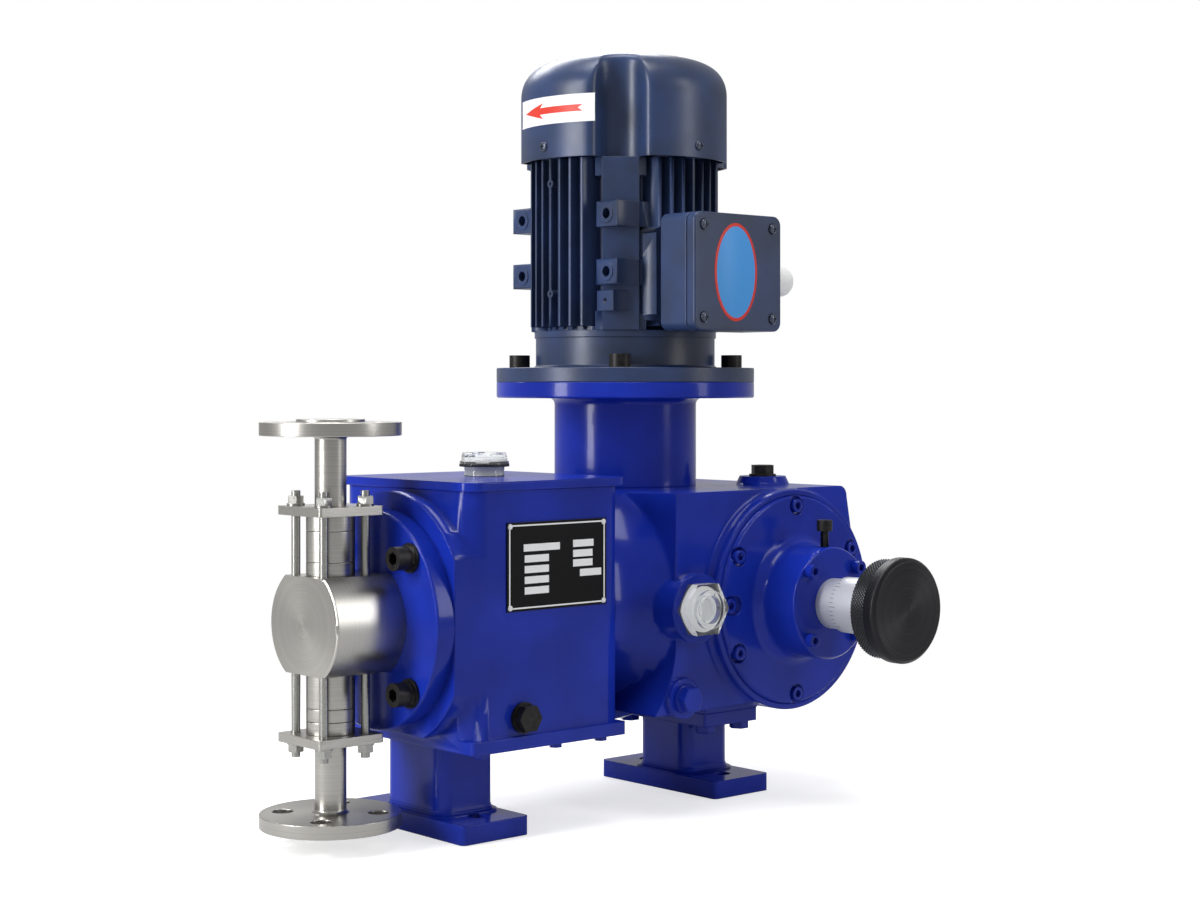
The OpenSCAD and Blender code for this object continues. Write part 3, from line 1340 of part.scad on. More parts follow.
// Finned frame: hollow core, parallel fins on four sides, corner columns and mounting lugs
module motor_frame() color(motor_grey) translate([worm_x, wheel_y, frame_z]) {
  body_len = frame_len - cowl_lap;
  seat_z = upper_bearing_z - frame_z;
  difference() {
    union() {
      cylinder(h = body_len, r = frame_core_r);
      cylinder(h = frame_len, r = cowl_spigot_r);
      frame_fins(body_len);
      for (a = [45 : 90 : 315]) rotate(a) frame_corner(body_len);
      for (sy = [-1, 1], z = lug_heights) frame_lug(sy, z);
      for (z = fin_boss_heights) translate([-fin_tip_r, 0, z]) rotate([0, 90, 0])
        cylinder(h = fin_tip_r - frame_core_r + 2, r = fin_boss_r);
      translate([-earth_x, earth_shift - lug_y - earth_wid / 2, earth_low])
        cube([earth_len, earth_wid, earth_h]);
      terminal_pad(terminal_wid - 14, frame_core_r - 16, pad_reach);
      terminal_pad(terminal_wid - 28, frame_core_r + 4, pad_reach + terminal_neck_len);
      for (q = [0 : 90 : 270]) rotate(q) cowl_block(body_len);
    }
    translate([0, 0, -1]) cylinder(h = seat_z + 1 - bearing_wall, r = frame_bore_r);
    translate([0, 0, seat_z - bearing_wall - eps])
      tube(frame_bore_r, motor_bearing_r + bearing_wall,
        frame_len - frame_top_wall - seat_z + bearing_wall);
    translate([0, 0, seat_z - bearing_wall - 1])
      cylinder(h = motor_bearing_w + bearing_wall + 1 + face_gap, r = motor_bearing_r);
    translate([0, 0, seat_z]) cylinder(h = frame_len, r = motor_shaft_r + 3);
    translate([0, 0, terminal_mid_z - frame_z]) rotate([90, 0, 0])
      cylinder(h = pad_reach + terminal_neck_len + 2, r = cable_way_r);
    for (q = [0 : 90 : 270]) rotate(q) translate([cowl_spigot_r, 0, body_len + cowl_screw_h])
      rotate([0, 90, 0]) cylinder(h = cowl_r - cowl_spigot_r, r = cowl_screw_r);
    for (sy = [-1, 1], z = lug_heights)
      translate([-lug_x - 1, sy * lug_y, z]) rotate([0, 90, 0]) cylinder(h = 22, r = lug_hole_r);
    for (z = fin_boss_heights) translate([-fin_tip_r - 1, 0, z]) rotate([0, 90, 0])
      cylinder(h = 7, r = fin_boss_r / 3);
    translate([-earth_x - 1, earth_shift - lug_y, earth_low + earth_h / 2]) rotate([0, 90, 0])
      cylinder(h = 11, r = 2);
  }
}

// Parallel fins on the four sides, with their tips on one circle
module frame_fins(body_len) {
  translate([0, 0, fin_low]) intersection() {
    cylinder(h = body_len - fin_low, r = fin_tip_r);
    for (q = [0 : 90 : 270], i = [0 : fin_count - 1]) rotate(q)
      translate([frame_core_r / 2, (i - (fin_count - 1) / 2) * fin_pitch - fin_t / 2, 0])
        cube([fin_tip_r, fin_t, frame_len]);
  }
}

// Column in one corner of the frame, with a wider cap at each end
module frame_corner(body_len) {
  inner = frame_core_r - 14;
  translate([inner, -column_wid / 2, 0]) cube([column_reach - inner, column_wid, body_len]);
  for (z = [0, body_len - cap_h])
    translate([inner, -cap_wid / 2, z]) cube([cap_reach - inner, cap_wid, cap_h]);
}

// Block at the middle of one side that takes a screw of the cowl
module cowl_block(body_len) {
  intersection() {
    translate([cowl_spigot_r - cowl_block_deep, -cowl_block_wid / 2, body_len])
      cube([cowl_r, cowl_block_wid, 2 * cowl_screw_h - 2]);
    translate([0, 0, body_len]) cylinder(h = frame_len, r = cowl_r - cowl_wall - face_gap);
  }
}

// One mounting lug with a raised ring round its hole
module frame_lug(sy, z) {
  translate([-lug_x, sy * lug_y - lug_wid / 2, z - lug_h / 2]) cube([lug_len, lug_wid, lug_h]);
  translate([-lug_x - 0.8, sy * lug_y, z]) rotate([0, 90, 0]) cylinder(h = 1, r = lug_hole_r + 3);
}

// Bearings of the motor shaft, one in the end shield and one in the top wall of the frame
module motor_bearings() color(bearing_steel) for (z = [lower_bearing_z, upper_bearing_z])
  translate([worm_x, wheel_y, z])
    bearing(motor_shaft_r + run_fit, motor_bearing_r - seat_fit, motor_bearing_w);

// Pad on the front of the frame, between two distances from the motor's axis
module terminal_pad(side, from, to) {
  translate([0, -from, terminal_mid_z - frame_z]) rotate([90, 0, 0]) linear_extrude(to - from)
    round_rect(side, side - 6, 5);
}

// Stator: laminated core with winding heads above and below
module stator() color("#8a5a2f") translate([worm_x, wheel_y, core_z]) {
  translate([0, 0, core_end]) tube(frame_bore_r - seat_fit, rotor_r + air_gap, core_len - 2 * core_end);
  for (z = [core_end - winding_h, core_len - core_end]) translate([0, 0, z])
    tube(frame_bore_r - 6, rotor_r + 4, winding_h);
}

// Rotor: motor shaft with its laminated core and an end ring on each side
module rotor() color("#909398") translate([worm_x, wheel_y, 0]) {
  shaft_low = coupling_z + coupling_half + 1;
  translate([0, 0, shaft_low]) cylinder(h = shaft_top - shaft_low, r = motor_shaft_r);
  translate([0, 0, core_z]) cylinder(h = core_len, r = rotor_r);
  for (z = [core_z - rotor_ring_h, core_z + core_len - eps]) translate([0, 0, z])
    cylinder(h = rotor_ring_h + eps, r = rotor_r - 3);
}

// Plastic cooling fan with straight radial blades
module cooling_fan() color("#2b2c2f") translate([worm_x, wheel_y, fan_z]) {
  blade_t = 2.4;
  difference() {
    union() {
      cylinder(h = fan_h, r = fan_hub_r);
      cylinder(h = 2.5, r = fan_r);
      for (a = [0 : 45 : 315]) rotate(a) translate([fan_hub_r - 3, -blade_t / 2, 0])
        cube([fan_r - fan_hub_r + 3, blade_t, fan_h - 2]);
    }
    translate([0, 0, -1]) cylinder(h = fan_h + 2, r = motor_shaft_r + seat_fit);
  }
}

// Profile of the cowl from its open end to the crown, moved inwards by a wall
function cowl_profile(inset) = concat([[0, 0], [cowl_r - inset, 0]],
  [for (i = [0 : 10]) let (a = 9 * i)
    [cowl_r - dome_w + (dome_w - inset) * cos(a),
      cowl_h - dome_h - crown_drop + (dome_h - inset) * sin(a)]],
  [[crown_r, cowl_h - crown_drop / 3 - inset], [0, cowl_h - inset]]);

// Fan cowl: domed shell with a hollow flute in each corner and an air grille in the crown
module fan_cowl() color(motor_grey) translate([worm_x, wheel_y, cowl_z]) difference() {
  union() {
    difference() {
      rotate_extrude() polygon(cowl_profile(0));
      translate([0, 0, -1]) rotate_extrude() polygon(cowl_profile(cowl_wall));
    }
    intersection() {
      rotate_extrude() polygon(cowl_profile(0));
      flutes(flute_r + cowl_wall);
    }
  }
  flutes(flute_r);
  for (r = [grille_pitch + 2 : grille_pitch : grille_reach]) translate([0, 0, cowl_h - 12])
    difference() {
      tube(r + grille_slot, r, 14);
      for (a = [0 : 60 : 120]) rotate(a + 15) cube([2 * cowl_r, grille_bar, 30], center = true);
    }
  for (q = [0 : 90 : 270]) rotate(q) translate([cowl_r - 6, 0, cowl_screw_h]) rotate([0, 90, 0])
    cylinder(h = 8, r = cowl_screw_r + 0.1);
}

// The four corner cylinders that make the flutes
module flutes(r) {
  on_diagonals(flute_at) translate([0, 0, -1]) cylinder(h = cowl_h, r = r);
}

// Terminal box body on the front of the frame
module terminal_box() color(motor_grey) difference() {
  terminal_block(terminal_back_y, terminal_depth - terminal_lid_t, 0);
  terminal_block(terminal_back_y - terminal_floor_t, terminal_depth, terminal_wall);
  along_x(worm_x + terminal_wid / 2 - terminal_wall - 2, gland_y, gland_z)
    cylinder(h = terminal_wall + 4, r = gland_thread_r);
  along_y(worm_x, terminal_back_y - terminal_floor_t - 2, terminal_mid_z)
    cylinder(h = terminal_floor_t + 4, r = cable_way_r);
}

// Square block with round corners, drawn forwards from its back face
module terminal_block(back_y, depth, inset) {
  translate([worm_x, back_y, terminal_mid_z]) rotate([90, 0, 0]) linear_extrude(depth)
    round_rect(terminal_wid - 2 * inset, terminal_tall - 2 * inset, terminal_corner - inset / 2);
}

// Lid of the terminal box
module terminal_box_lid() color(motor_grey)
  terminal_block(terminal_back_y - terminal_depth + terminal_lid_t, terminal_lid_t, 0);

// White plug in the cable entry
module cable_gland() color("#e9eaec") along_x(worm_x + terminal_wid / 2, gland_y, gland_z) {
  collar = 5;
  cap_r = gland_thread_r + 3;
  cylinder(h = collar, r = cap_r + 0.5);
  translate([0, 0, -terminal_wall - 3])
    cylinder(h = terminal_wall + 3 + eps, r = gland_thread_r - spigot_fit);
  translate([0, 0, collar - eps]) rotate_extrude() polygon(concat([[0, 0]], [for (i = [0 : 6])
    let (a = 15 * i) [cap_r * cos(a), cap_r * sin(a)]]));
}

crosshead_housing();
housing_lid();
filler_cap();
filler_seal_ring();
crosshead_drain_plug();
nameplate();
foot_flange_bolts();
front_foot();
head_flange();
head_flange_bolts();
head_flange_washers();
pump_head();
packing_rings();
packing_gland();
valve_seats();
valve_cages();
discharge_ball();
suction_ball();
discharge_connector();
suction_connector();
valve_yokes();
yoke_studs();
yoke_nuts();
plunger();
crosshead();
crosshead_pin();
connecting_rod();
gearbox_housing();
rear_foot();
gear_cover();
cover_screws();
lock_screw();
scale_sleeve();
sight_glass();
gearbox_drain_plug();
vent_plug();
wheel_bearings();
worm_wheel();
wheel_spindle();
n_shaft();
eccentric_disc();
thrust_block();
stroke_knob();
stroke_dial();
adjusting_screw();
worm_shaft();
worm_bearings();
shaft_coupling();
motor_lantern();
motor_flange_bolts();
motor_end_shield();
motor_frame();
motor_bearings();
stator();
rotor();
cooling_fan();
fan_cowl();
terminal_box();
terminal_box_lid();
cable_gland();
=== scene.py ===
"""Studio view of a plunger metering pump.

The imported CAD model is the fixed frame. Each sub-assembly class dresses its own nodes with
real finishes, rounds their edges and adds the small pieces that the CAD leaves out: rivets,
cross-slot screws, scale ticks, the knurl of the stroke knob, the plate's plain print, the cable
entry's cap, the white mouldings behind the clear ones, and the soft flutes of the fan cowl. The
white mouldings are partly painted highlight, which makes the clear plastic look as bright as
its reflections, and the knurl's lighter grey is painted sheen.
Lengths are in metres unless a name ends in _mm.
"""

import json
import logging
import math
from dataclasses import dataclass, field
from enum import Enum
from typing import Optional, Sequence

import bmesh
import bpy
from mathutils import Matrix, Vector

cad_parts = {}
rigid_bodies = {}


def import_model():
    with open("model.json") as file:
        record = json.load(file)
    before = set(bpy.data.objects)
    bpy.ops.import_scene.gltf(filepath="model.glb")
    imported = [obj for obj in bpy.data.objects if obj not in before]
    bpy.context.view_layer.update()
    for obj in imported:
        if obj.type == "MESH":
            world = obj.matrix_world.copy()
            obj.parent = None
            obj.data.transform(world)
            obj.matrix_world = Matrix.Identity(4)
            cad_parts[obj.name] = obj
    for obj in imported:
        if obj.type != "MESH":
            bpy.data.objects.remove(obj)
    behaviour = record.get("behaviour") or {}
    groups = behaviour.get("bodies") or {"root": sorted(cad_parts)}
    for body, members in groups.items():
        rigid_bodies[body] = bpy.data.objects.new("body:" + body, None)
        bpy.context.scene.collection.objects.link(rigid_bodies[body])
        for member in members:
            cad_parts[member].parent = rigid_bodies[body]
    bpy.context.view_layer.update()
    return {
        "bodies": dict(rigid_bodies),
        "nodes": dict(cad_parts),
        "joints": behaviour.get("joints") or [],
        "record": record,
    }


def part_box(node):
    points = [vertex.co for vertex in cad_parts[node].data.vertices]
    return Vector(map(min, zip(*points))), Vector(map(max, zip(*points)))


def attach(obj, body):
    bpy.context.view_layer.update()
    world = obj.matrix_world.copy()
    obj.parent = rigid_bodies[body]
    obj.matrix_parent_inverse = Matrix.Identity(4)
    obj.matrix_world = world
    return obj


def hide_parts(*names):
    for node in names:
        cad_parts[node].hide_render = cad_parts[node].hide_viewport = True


LOG = logging.getLogger("metering_pump")
MM = 0.001
FRONT = Vector((0, -1, 0))
MATH = "ShaderNodeMath"
Socket = bpy.types.NodeSocket
Triple = tuple[float, float, float]
Colour = tuple[float, float, float, float]
Profile = Sequence[tuple[float, float]]
# The start and end of each field of one column across the plate, and the height of each row
Fields = tuple[tuple[tuple[float, float], ...], tuple[float, ...]]


def linear(hex_colour: str) -> Colour:
    """Turns an sRGB hex colour to linear values.

    Args:
        hex_colour: six hex digits after a number sign.

    Returns:
        Red, green, blue and full alpha.
    """
    parts = [int(hex_colour[i:i + 2], 16) / 255 for i in (1, 3, 5)]
    red, green, blue = (c / 12.92 if c <= 0.04045 else ((c + 0.055) / 1.055) ** 2.4 for c in parts)
    return red, green, blue, 1.0


def add_node(tree: bpy.types.NodeTree, kind: str, settings: Optional[dict] = None,
             links: Optional[dict] = None) -> bpy.types.Node:
    """Adds one node, with its settings and links.

    Args:
        tree: the node tree.
        kind: Blender's name for the node type.
        settings: properties by name, and input values by input name or place.
        links: the socket that feeds each input, by input name or place.

    Returns:
        The new node.
    """
    node = tree.nodes.new(kind)
    own = {k: v for k, v in (settings or {}).items() if isinstance(k, str) and hasattr(node, k)}
    for key, value in own.items():
        setattr(node, key, value)
    for key, value in (settings or {}).items():
        if key not in own:
            node.inputs[key].default_value = value
    for key, socket in (links or {}).items():
        tree.links.new(socket, node.inputs[key])
    return node


WHITE = linear("#ffffff")


class NodeWork:
    """A node tree while it is built."""

    def __init__(self, owner: bpy.types.ID) -> None:
        """Takes a new node group, or empties the tree of a material or world.

        Args:
            owner: what is built of nodes.
        """
        self.tree = owner
        if not isinstance(owner, bpy.types.NodeTree):
            owner.use_nodes = True
            self.tree = owner.node_tree
            self.tree.nodes.clear()

    def add(self, kind: str, settings: Optional[dict] = None, links: Optional[dict] = None,
            output: int | str = 0) -> Socket:
        """Adds a node and returns one of its outputs, the first if none is named."""
        return add_node(self.tree, kind, settings, links).outputs[output]


# ---------------------------------------------------------------- finishes


class Axis(Enum):
    """Direction that a turned piece was spun about."""

    X = "X"
    Y = "Y"
    Z = "Z"


class Surface(NodeWork):
    """A material while its finish is built."""

    def __init__(self, finish: "Finish") -> None:
        """Starts the material with the plain values of its finish.

        Args:
            finish: the finish.
        """
        self.finish = finish
        self.material = bpy.data.materials.new(finish.name)
        self.material.diffuse_color = linear(finish.colour)
        super().__init__(self.material)
        self.bsdf = add_node(self.tree, "ShaderNodeBsdfPrincipled", {
            "Base Color": linear(finish.colour), "Roughness": finish.roughness,
            "Metallic": finish.metallic, "Specular IOR Level": finish.specular})
        add_node(self.tree, "ShaderNodeOutputMaterial", links={"Surface": self.bsdf.outputs[0]})

    def feed(self, **inputs: object) -> None:
        """Gives the main shader what goes into its inputs.

        Args:
            **inputs: a socket or a plain value for each, with an underscore for each space.
        """
        for label, value in inputs.items():
            place = self.bsdf.inputs[label.replace("_", " ")]
            if isinstance(value, Socket):
                self.tree.links.new(value, place)
            else:
                place.default_value = value

    def noise(self, size_mm: float, detail: float = 2.0, stretch: Triple = (1, 1, 1)) -> Socket:
        """Adds noise whose grains have a real size.

        Args:
            size_mm: rough width of one grain.
            detail: octaves of finer noise.
            stretch: scale of the pattern along each axis.

        Returns:
            The noise value, from 0 to 1.
        """
        place = self.add("ShaderNodeTexCoord", output="Object")
        scaled = self.add("ShaderNodeMapping", {"Scale": stretch}, {"Vector": place})
        return self.add("ShaderNodeTexNoise", {"Scale": 1 / (size_mm * MM), "Detail": detail},
                        {"Vector": scaled})

    def rough(self, pattern: Socket, less: float, more: float) -> None:
        """Varies the roughness with a pattern.

        Args:
            pattern: goes from 0 to 1.
            less: how far below the finish's own roughness it starts.
            more: how far above it ends.
        """
        plain = self.finish.roughness
        self.feed(Roughness=self.add("ShaderNodeMapRange", {
            "To Min": plain - less, "To Max": plain + more}, {"Value": pattern}))

    def tint(self, pattern: Socket, first: str, second: str, low: float = 0.35,
             high: float = 0.65) -> None:
        """Lets the base colour follow a pattern.

        Args:
            pattern: goes from 0 to 1.
            first: colour up to low.
            second: colour from high.
            low: where the first colour starts to change.
            high: where the second colour is reached.
        """
        ramp = add_node(self.tree, "ShaderNodeValToRGB", links={"Fac": pattern})
        for stop, position, colour in zip(ramp.color_ramp.elements, (low, high), (first, second)):
            stop.position, stop.color = position, linear(colour)
        self.feed(Base_Color=ramp.outputs["Color"])

    def bump(self, height: Socket, depth_mm: float, strength: float,
             below: Optional[Socket] = None) -> Socket:
        """Turns a height pattern to a normal.

        Args:
            height: the pattern, from 0 to 1.
            depth_mm: its real height.
            strength: how much of it shows.
            below: the bump that it lies on, or nothing for the finish's broken edges.

        Returns:
            The normal.
        """
        edge = self.finish.edge_mm
        if below is None and edge > 0:
            below = self.add("ShaderNodeBevel", {"samples": 6, "Radius": edge * MM})
        links = {"Height": height} if below is None else {"Height": height, "Normal": below}
        return self.add("ShaderNodeBump", {"Distance": depth_mm * MM, "Strength": strength}, links)

    def mark(self, marks: Socket, streak: float, dark: str, depth_mm: float,
             strength: float) -> None:
        """Puts tool marks in the roughness, the colour and the height.

        Args:
            marks: their pattern, from 0 to 1.
            streak: how far they change the roughness, up and down.
            dark: colour of the marks, or nothing for the finish's own.
            depth_mm: their real depth.
            strength: how much of it shows.
        """
        colour = self.finish.colour
        self.rough(marks, streak, streak)
        self.tint(marks, dark or colour, colour, 0.3, 0.7)
        self.feed(Normal=self.bump(marks, depth_mm, strength))


@dataclass(frozen=True)
class Finish:
    """A surface finish that knows how to build its own material.

    A finish is written as its name, colour, roughness and share of metal, and the rest by name.
    edge_mm is the radius of the broken edges, and specular the strength of plain reflections.
    """

    name: str
    colour: str
    roughness: float = 0.4
    metallic: float = 0.0
    edge_mm: float = field(default=0.0, kw_only=True)
    specular: float = field(default=0.5, kw_only=True)

    def dress(self, surface: Surface) -> None:
        """Adds what makes this finish more than one flat colour."""

    def build(self) -> bpy.types.Material:
        """Makes the material.

        Returns:
            The material.
        """
        surface = Surface(self)
        self.dress(surface)
        return surface.material


@dataclass(frozen=True)
class CastEnamel(Finish):
    """Gloss alkyd enamel sprayed on sand-cast iron: wet gloss over faintly wavy metal."""

    deep_colour: str = "#12278e"
    coat: float = 0.15
    coat_roughness: float = 0.04
    tone_mm: float = 60.0
    gloss_mm: float = 25.0
    wave_mm: float = 26.0
    # Real orange peel is about 1 mm across. It is drawn coarser, so that it shows.
    peel_mm: float = 2.4

    def dress(self, surface: Surface) -> None:
        """Adds the casting's waves, the spray's orange peel and a slow change of colour.

        Args:
            surface: the material while it is built.
        """
        surface.tint(surface.noise(self.tone_mm, detail=3), self.deep_colour, self.colour)
        surface.rough(surface.noise(self.gloss_mm, detail=4), less=0.05, more=0.07)
        waves = surface.bump(surface.noise(self.wave_mm, detail=2), depth_mm=0.35, strength=0.3)
        peel = surface.bump(surface.noise(self.peel_mm, detail=1), depth_mm=0.02, strength=0.4,
                            below=waves)
        surface.feed(Normal=peel, Coat_Normal=waves, Coat_Weight=self.coat,
                     Coat_Roughness=self.coat_roughness)


@dataclass(frozen=True)
class DieCastPaint(Finish):
    """Satin machine paint on die-cast aluminium: even colour with a fine pebbled skin."""

    deep_colour: str = "#25314b"
    tone_mm: float = 45.0
    gloss_mm: float = 12.0
    pebble_mm: float = 1.1

    def dress(self, surface: Surface) -> None:
        """Adds the pebbled skin of the paint and its slow change of gloss.

        Args:
            surface: the material while it is built.
        """
        surface.tint(surface.noise(self.tone_mm, detail=3), self.deep_colour, self.colour)
        surface.rough(surface.noise(self.gloss_mm, detail=4), less=0.06, more=0.08)
        pebbles = surface.noise(self.pebble_mm, detail=2)
        surface.feed(Normal=surface.bump(pebbles, depth_mm=0.08, strength=0.45))


@dataclass(frozen=True)
class TurnedMetal(Finish):
    """Metal turned in a lathe: fine rings about its axis that streak the reflections."""

    axis: Axis = Axis.Z
    centre: Triple = (0.0, 0.0, 0.0)
    # Real tool marks are 0.1 to 0.2 mm apart. They are drawn coarser, so that they show.
    mark_mm: float = 0.7
    depth_mm: float = 0.02
    streak: float = 0.12
    dark: str = ""
    anisotropy: float = 0.5

    def rings(self, surface: Surface) -> Socket:
        """Adds noise that changes only along the axis and with the distance from it.

        Args:
            surface: the material that it goes into.

        Returns:
            The noise value, from 0 to 1.
        """
        place = surface.add("ShaderNodeTexCoord", output="Object")
        moved = surface.add("ShaderNodeMapping", {"Location": tuple(-c for c in self.centre)},
                            {"Vector": place})
        split = add_node(surface.tree, "ShaderNodeSeparateXYZ", links={0: moved}).outputs
        first, second = (split[a.value] for a in Axis if a is not self.axis)
        flat = surface.add("ShaderNodeCombineXYZ", links={0: first, 1: second})
        radius = surface.add("ShaderNodeVectorMath", {"operation": "LENGTH"}, {0: flat}, "Value")
        pair = surface.add("ShaderNodeCombineXYZ", links={0: radius, 1: split[self.axis.value]})
        return surface.add("ShaderNodeTexNoise", {"Scale": 1 / (self.mark_mm * MM), "Detail": 3.0},
                           {"Vector": pair})

    def dress(self, surface: Surface) -> None:
        """Adds the tool marks and draws the highlights out across them.

        Args:
            surface: the material while it is built.
        """
        surface.mark(self.rings(surface), self.streak, self.dark, self.depth_mm, strength=0.4)
        tangent = surface.add("ShaderNodeTangent", {
            "direction_type": "RADIAL", "axis": self.axis.value})
        surface.feed(Anisotropic=self.anisotropy, Tangent=tangent)


@dataclass(frozen=True)
class BrushedMetal(Finish):
    """Metal brushed or milled in one direction: long fine scratches."""

    stretch: Triple = (0.04, 1.0, 1.0)
    # Real scratches are finer than 0.1 mm. They are drawn coarser, so that they show.
    scratch_mm: float = 0.6
    streak: float = 0.1
    dark: str = ""

    def dress(self, surface: Surface) -> None:
        """Adds the scratches.

        Args:
            surface: the material while it is built.
        """
        scratches = surface.noise(self.scratch_mm, detail=3, stretch=self.stretch)
        surface.mark(scratches, self.streak, self.dark, depth_mm=0.02, strength=0.35)


@dataclass(frozen=True)
class BlackOxide(Finish):
    """Oiled black oxide on steel screws: nearly black, with a brown cast where it thins."""

    thin_colour: str = "#2a2725"
    patch_mm: float = 4.0
    # The skin of a forged screw is finer than this. It is drawn coarser, so that it shows.
    skin_mm: float = 0.8

    def dress(self, surface: Surface) -> None:
        """Adds the uneven film and the forged skin under it.

        Args:
            surface: the material while it is built.
        """
        patches = surface.noise(self.patch_mm, detail=3)
        surface.tint(patches, self.colour, self.thin_colour)
        surface.rough(patches, less=0.06, more=0.08)
        skin = surface.noise(self.skin_mm, detail=2)
        surface.feed(Normal=surface.bump(skin, depth_mm=0.015, strength=0.3))


@dataclass(frozen=True)
class CastMetal(Finish):
    """Bare cast or sintered metal inside the pump: matt, with a grainy skin."""

    second_colour: str = "#4a4c50"
    # Real grain is about 0.5 mm across. It is drawn coarser, so that it shows.
    grain_mm: float = 2.5

    def dress(self, surface: Surface) -> None:
        """Adds the grain.

        Args:
            surface: the material while it is built.
        """
        grain = surface.noise(self.grain_mm, detail=5)
        surface.tint(grain, self.second_colour, self.colour)
        surface.rough(grain, less=0.1, more=0.1)
        surface.feed(Normal=surface.bump(grain, depth_mm=0.06, strength=0.5))


@dataclass(frozen=True)
class ClearMoulding(Finish):
    """Clear moulded polycarbonate: bends what is behind it, with faint flow lines."""

    index: float = 1.49
    clearness: float = 0.9
    flow_mm: float = 6.0
    flow_stretch: Triple = (1, 1, 0.4)

    def dress(self, surface: Surface) -> None:
        """Makes the plastic clear and adds the flow lines.

        Args:
            surface: the material while it is built.
        """
        flow = surface.noise(self.flow_mm, detail=2, stretch=self.flow_stretch)
        surface.rough(flow, less=0.0, more=0.08)
        surface.feed(Transmission_Weight=self.clearness, IOR=self.index,
                     Normal=surface.bump(flow, depth_mm=0.15, strength=0.2))


@dataclass(frozen=True)
class MouldedPlastic(Finish):
    """Injection-moulded plastic or rubber: soft gloss over a fine spark-eroded texture."""

    # Real spark-eroded texture is about 0.1 mm across. It is drawn coarser, so that it shows.
    grain_mm: float = 0.5
    second_colour: str = ""
    tone_mm: float = 9.0
    gloss_mm: float = 5.0

    def dress(self, surface: Surface) -> None:
        """Adds the mould's texture and a slight unevenness of colour.

        Args:
            surface: the material while it is built.
        """
        if self.second_colour:
            surface.tint(surface.noise(self.tone_mm, detail=3), self.second_colour, self.colour)
        surface.rough(surface.noise(self.gloss_mm, detail=3), less=0.05, more=0.08)
        grain = surface.noise(self.grain_mm, detail=1)
        surface.feed(Normal=surface.bump(grain, depth_mm=0.02, strength=0.4))


@dataclass(frozen=True)
class PrintedFilm(Finish):
    """Ink or vinyl film: flat colour with the faint waviness of a stuck-on sheet."""

    mottle_mm: float = 4.0
    wave_mm: float = 14.0

    def dress(self, surface: Surface) -> None:
        """Adds the waviness of the film and the mottle of the ink.

        Args:
            surface: the material while it is built.
        """
        surface.rough(surface.noise(self.mottle_mm, detail=4), less=0.06, more=0.08)
        waves = surface.noise(self.wave_mm, detail=2)
        surface.feed(Normal=surface.bump(waves, depth_mm=0.1, strength=0.25))


DARK_ZINC = BrushedMetal("dark_zinc", "#5b6070", 0.36, 0.8, dark="#3f4452")
WHITE_NYLON = MouldedPlastic("white_nylon", "#eceded", 0.4)
BRIGHT_RIVET = BrushedMetal("bright_rivet", "#eceded", 0.42, 0.1, dark="#dcdddf")
# The knurl's grey is lighter than the knob's black anodising: painted sheen that stands in for the
# glints of its tips.
KNURL_PAINTED_SHEEN = BrushedMetal("anodised_knurl_painted_sheen", "#46474b", 0.32, 0.9, dark="#2a2b2e")
ENGRAVED_INK = PrintedFilm("engraved_ink", "#2a2c31", 0.5)
WHITE_PRINT = PrintedFilm("white_print", "#f2f3f4", 0.4)
WHITE_VINYL = PrintedFilm("white_vinyl", "#e6e7ea", 0.4, specular=0.3)
RED_VINYL = PrintedFilm("red_vinyl", "#cf3a2c", 0.4, specular=0.3)
RED_INK = PrintedFilm("red_ink", "#cf3226", 0.4, specular=0.3)
SKY_BLUE_INK = PrintedFilm("sky_blue_ink", "#4798e0", 0.4, specular=0.3)
STEEL = "#b6b4af"
STEEL_DARK = "#a3a19c"


class Slot(Enum):
    """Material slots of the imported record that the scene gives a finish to."""

    BLUE_ENAMEL = "blue_enamel"
    MOTOR_PAINT = "motor_paint"
    STAINLESS = "stainless"
    BLACK_OXIDE = "black_oxide"
    ZINC = "zinc"
    MACHINED_STEEL = "machined_steel"
    IRON = "iron"
    BRONZE = "bronze"
    COPPER = "copper"
    SATIN_ALUMINIUM = "satin_aluminium"
    BLACK_ALUMINIUM = "black_aluminium"
    CLEAR_PLASTIC = "clear_plastic"
    WHITE_PLASTIC = "white_plastic"
    BLACK_PLASTIC = "black_plastic"
    RUBBER = "rubber"
    PACKING = "packing"
    PLATE = "plate"


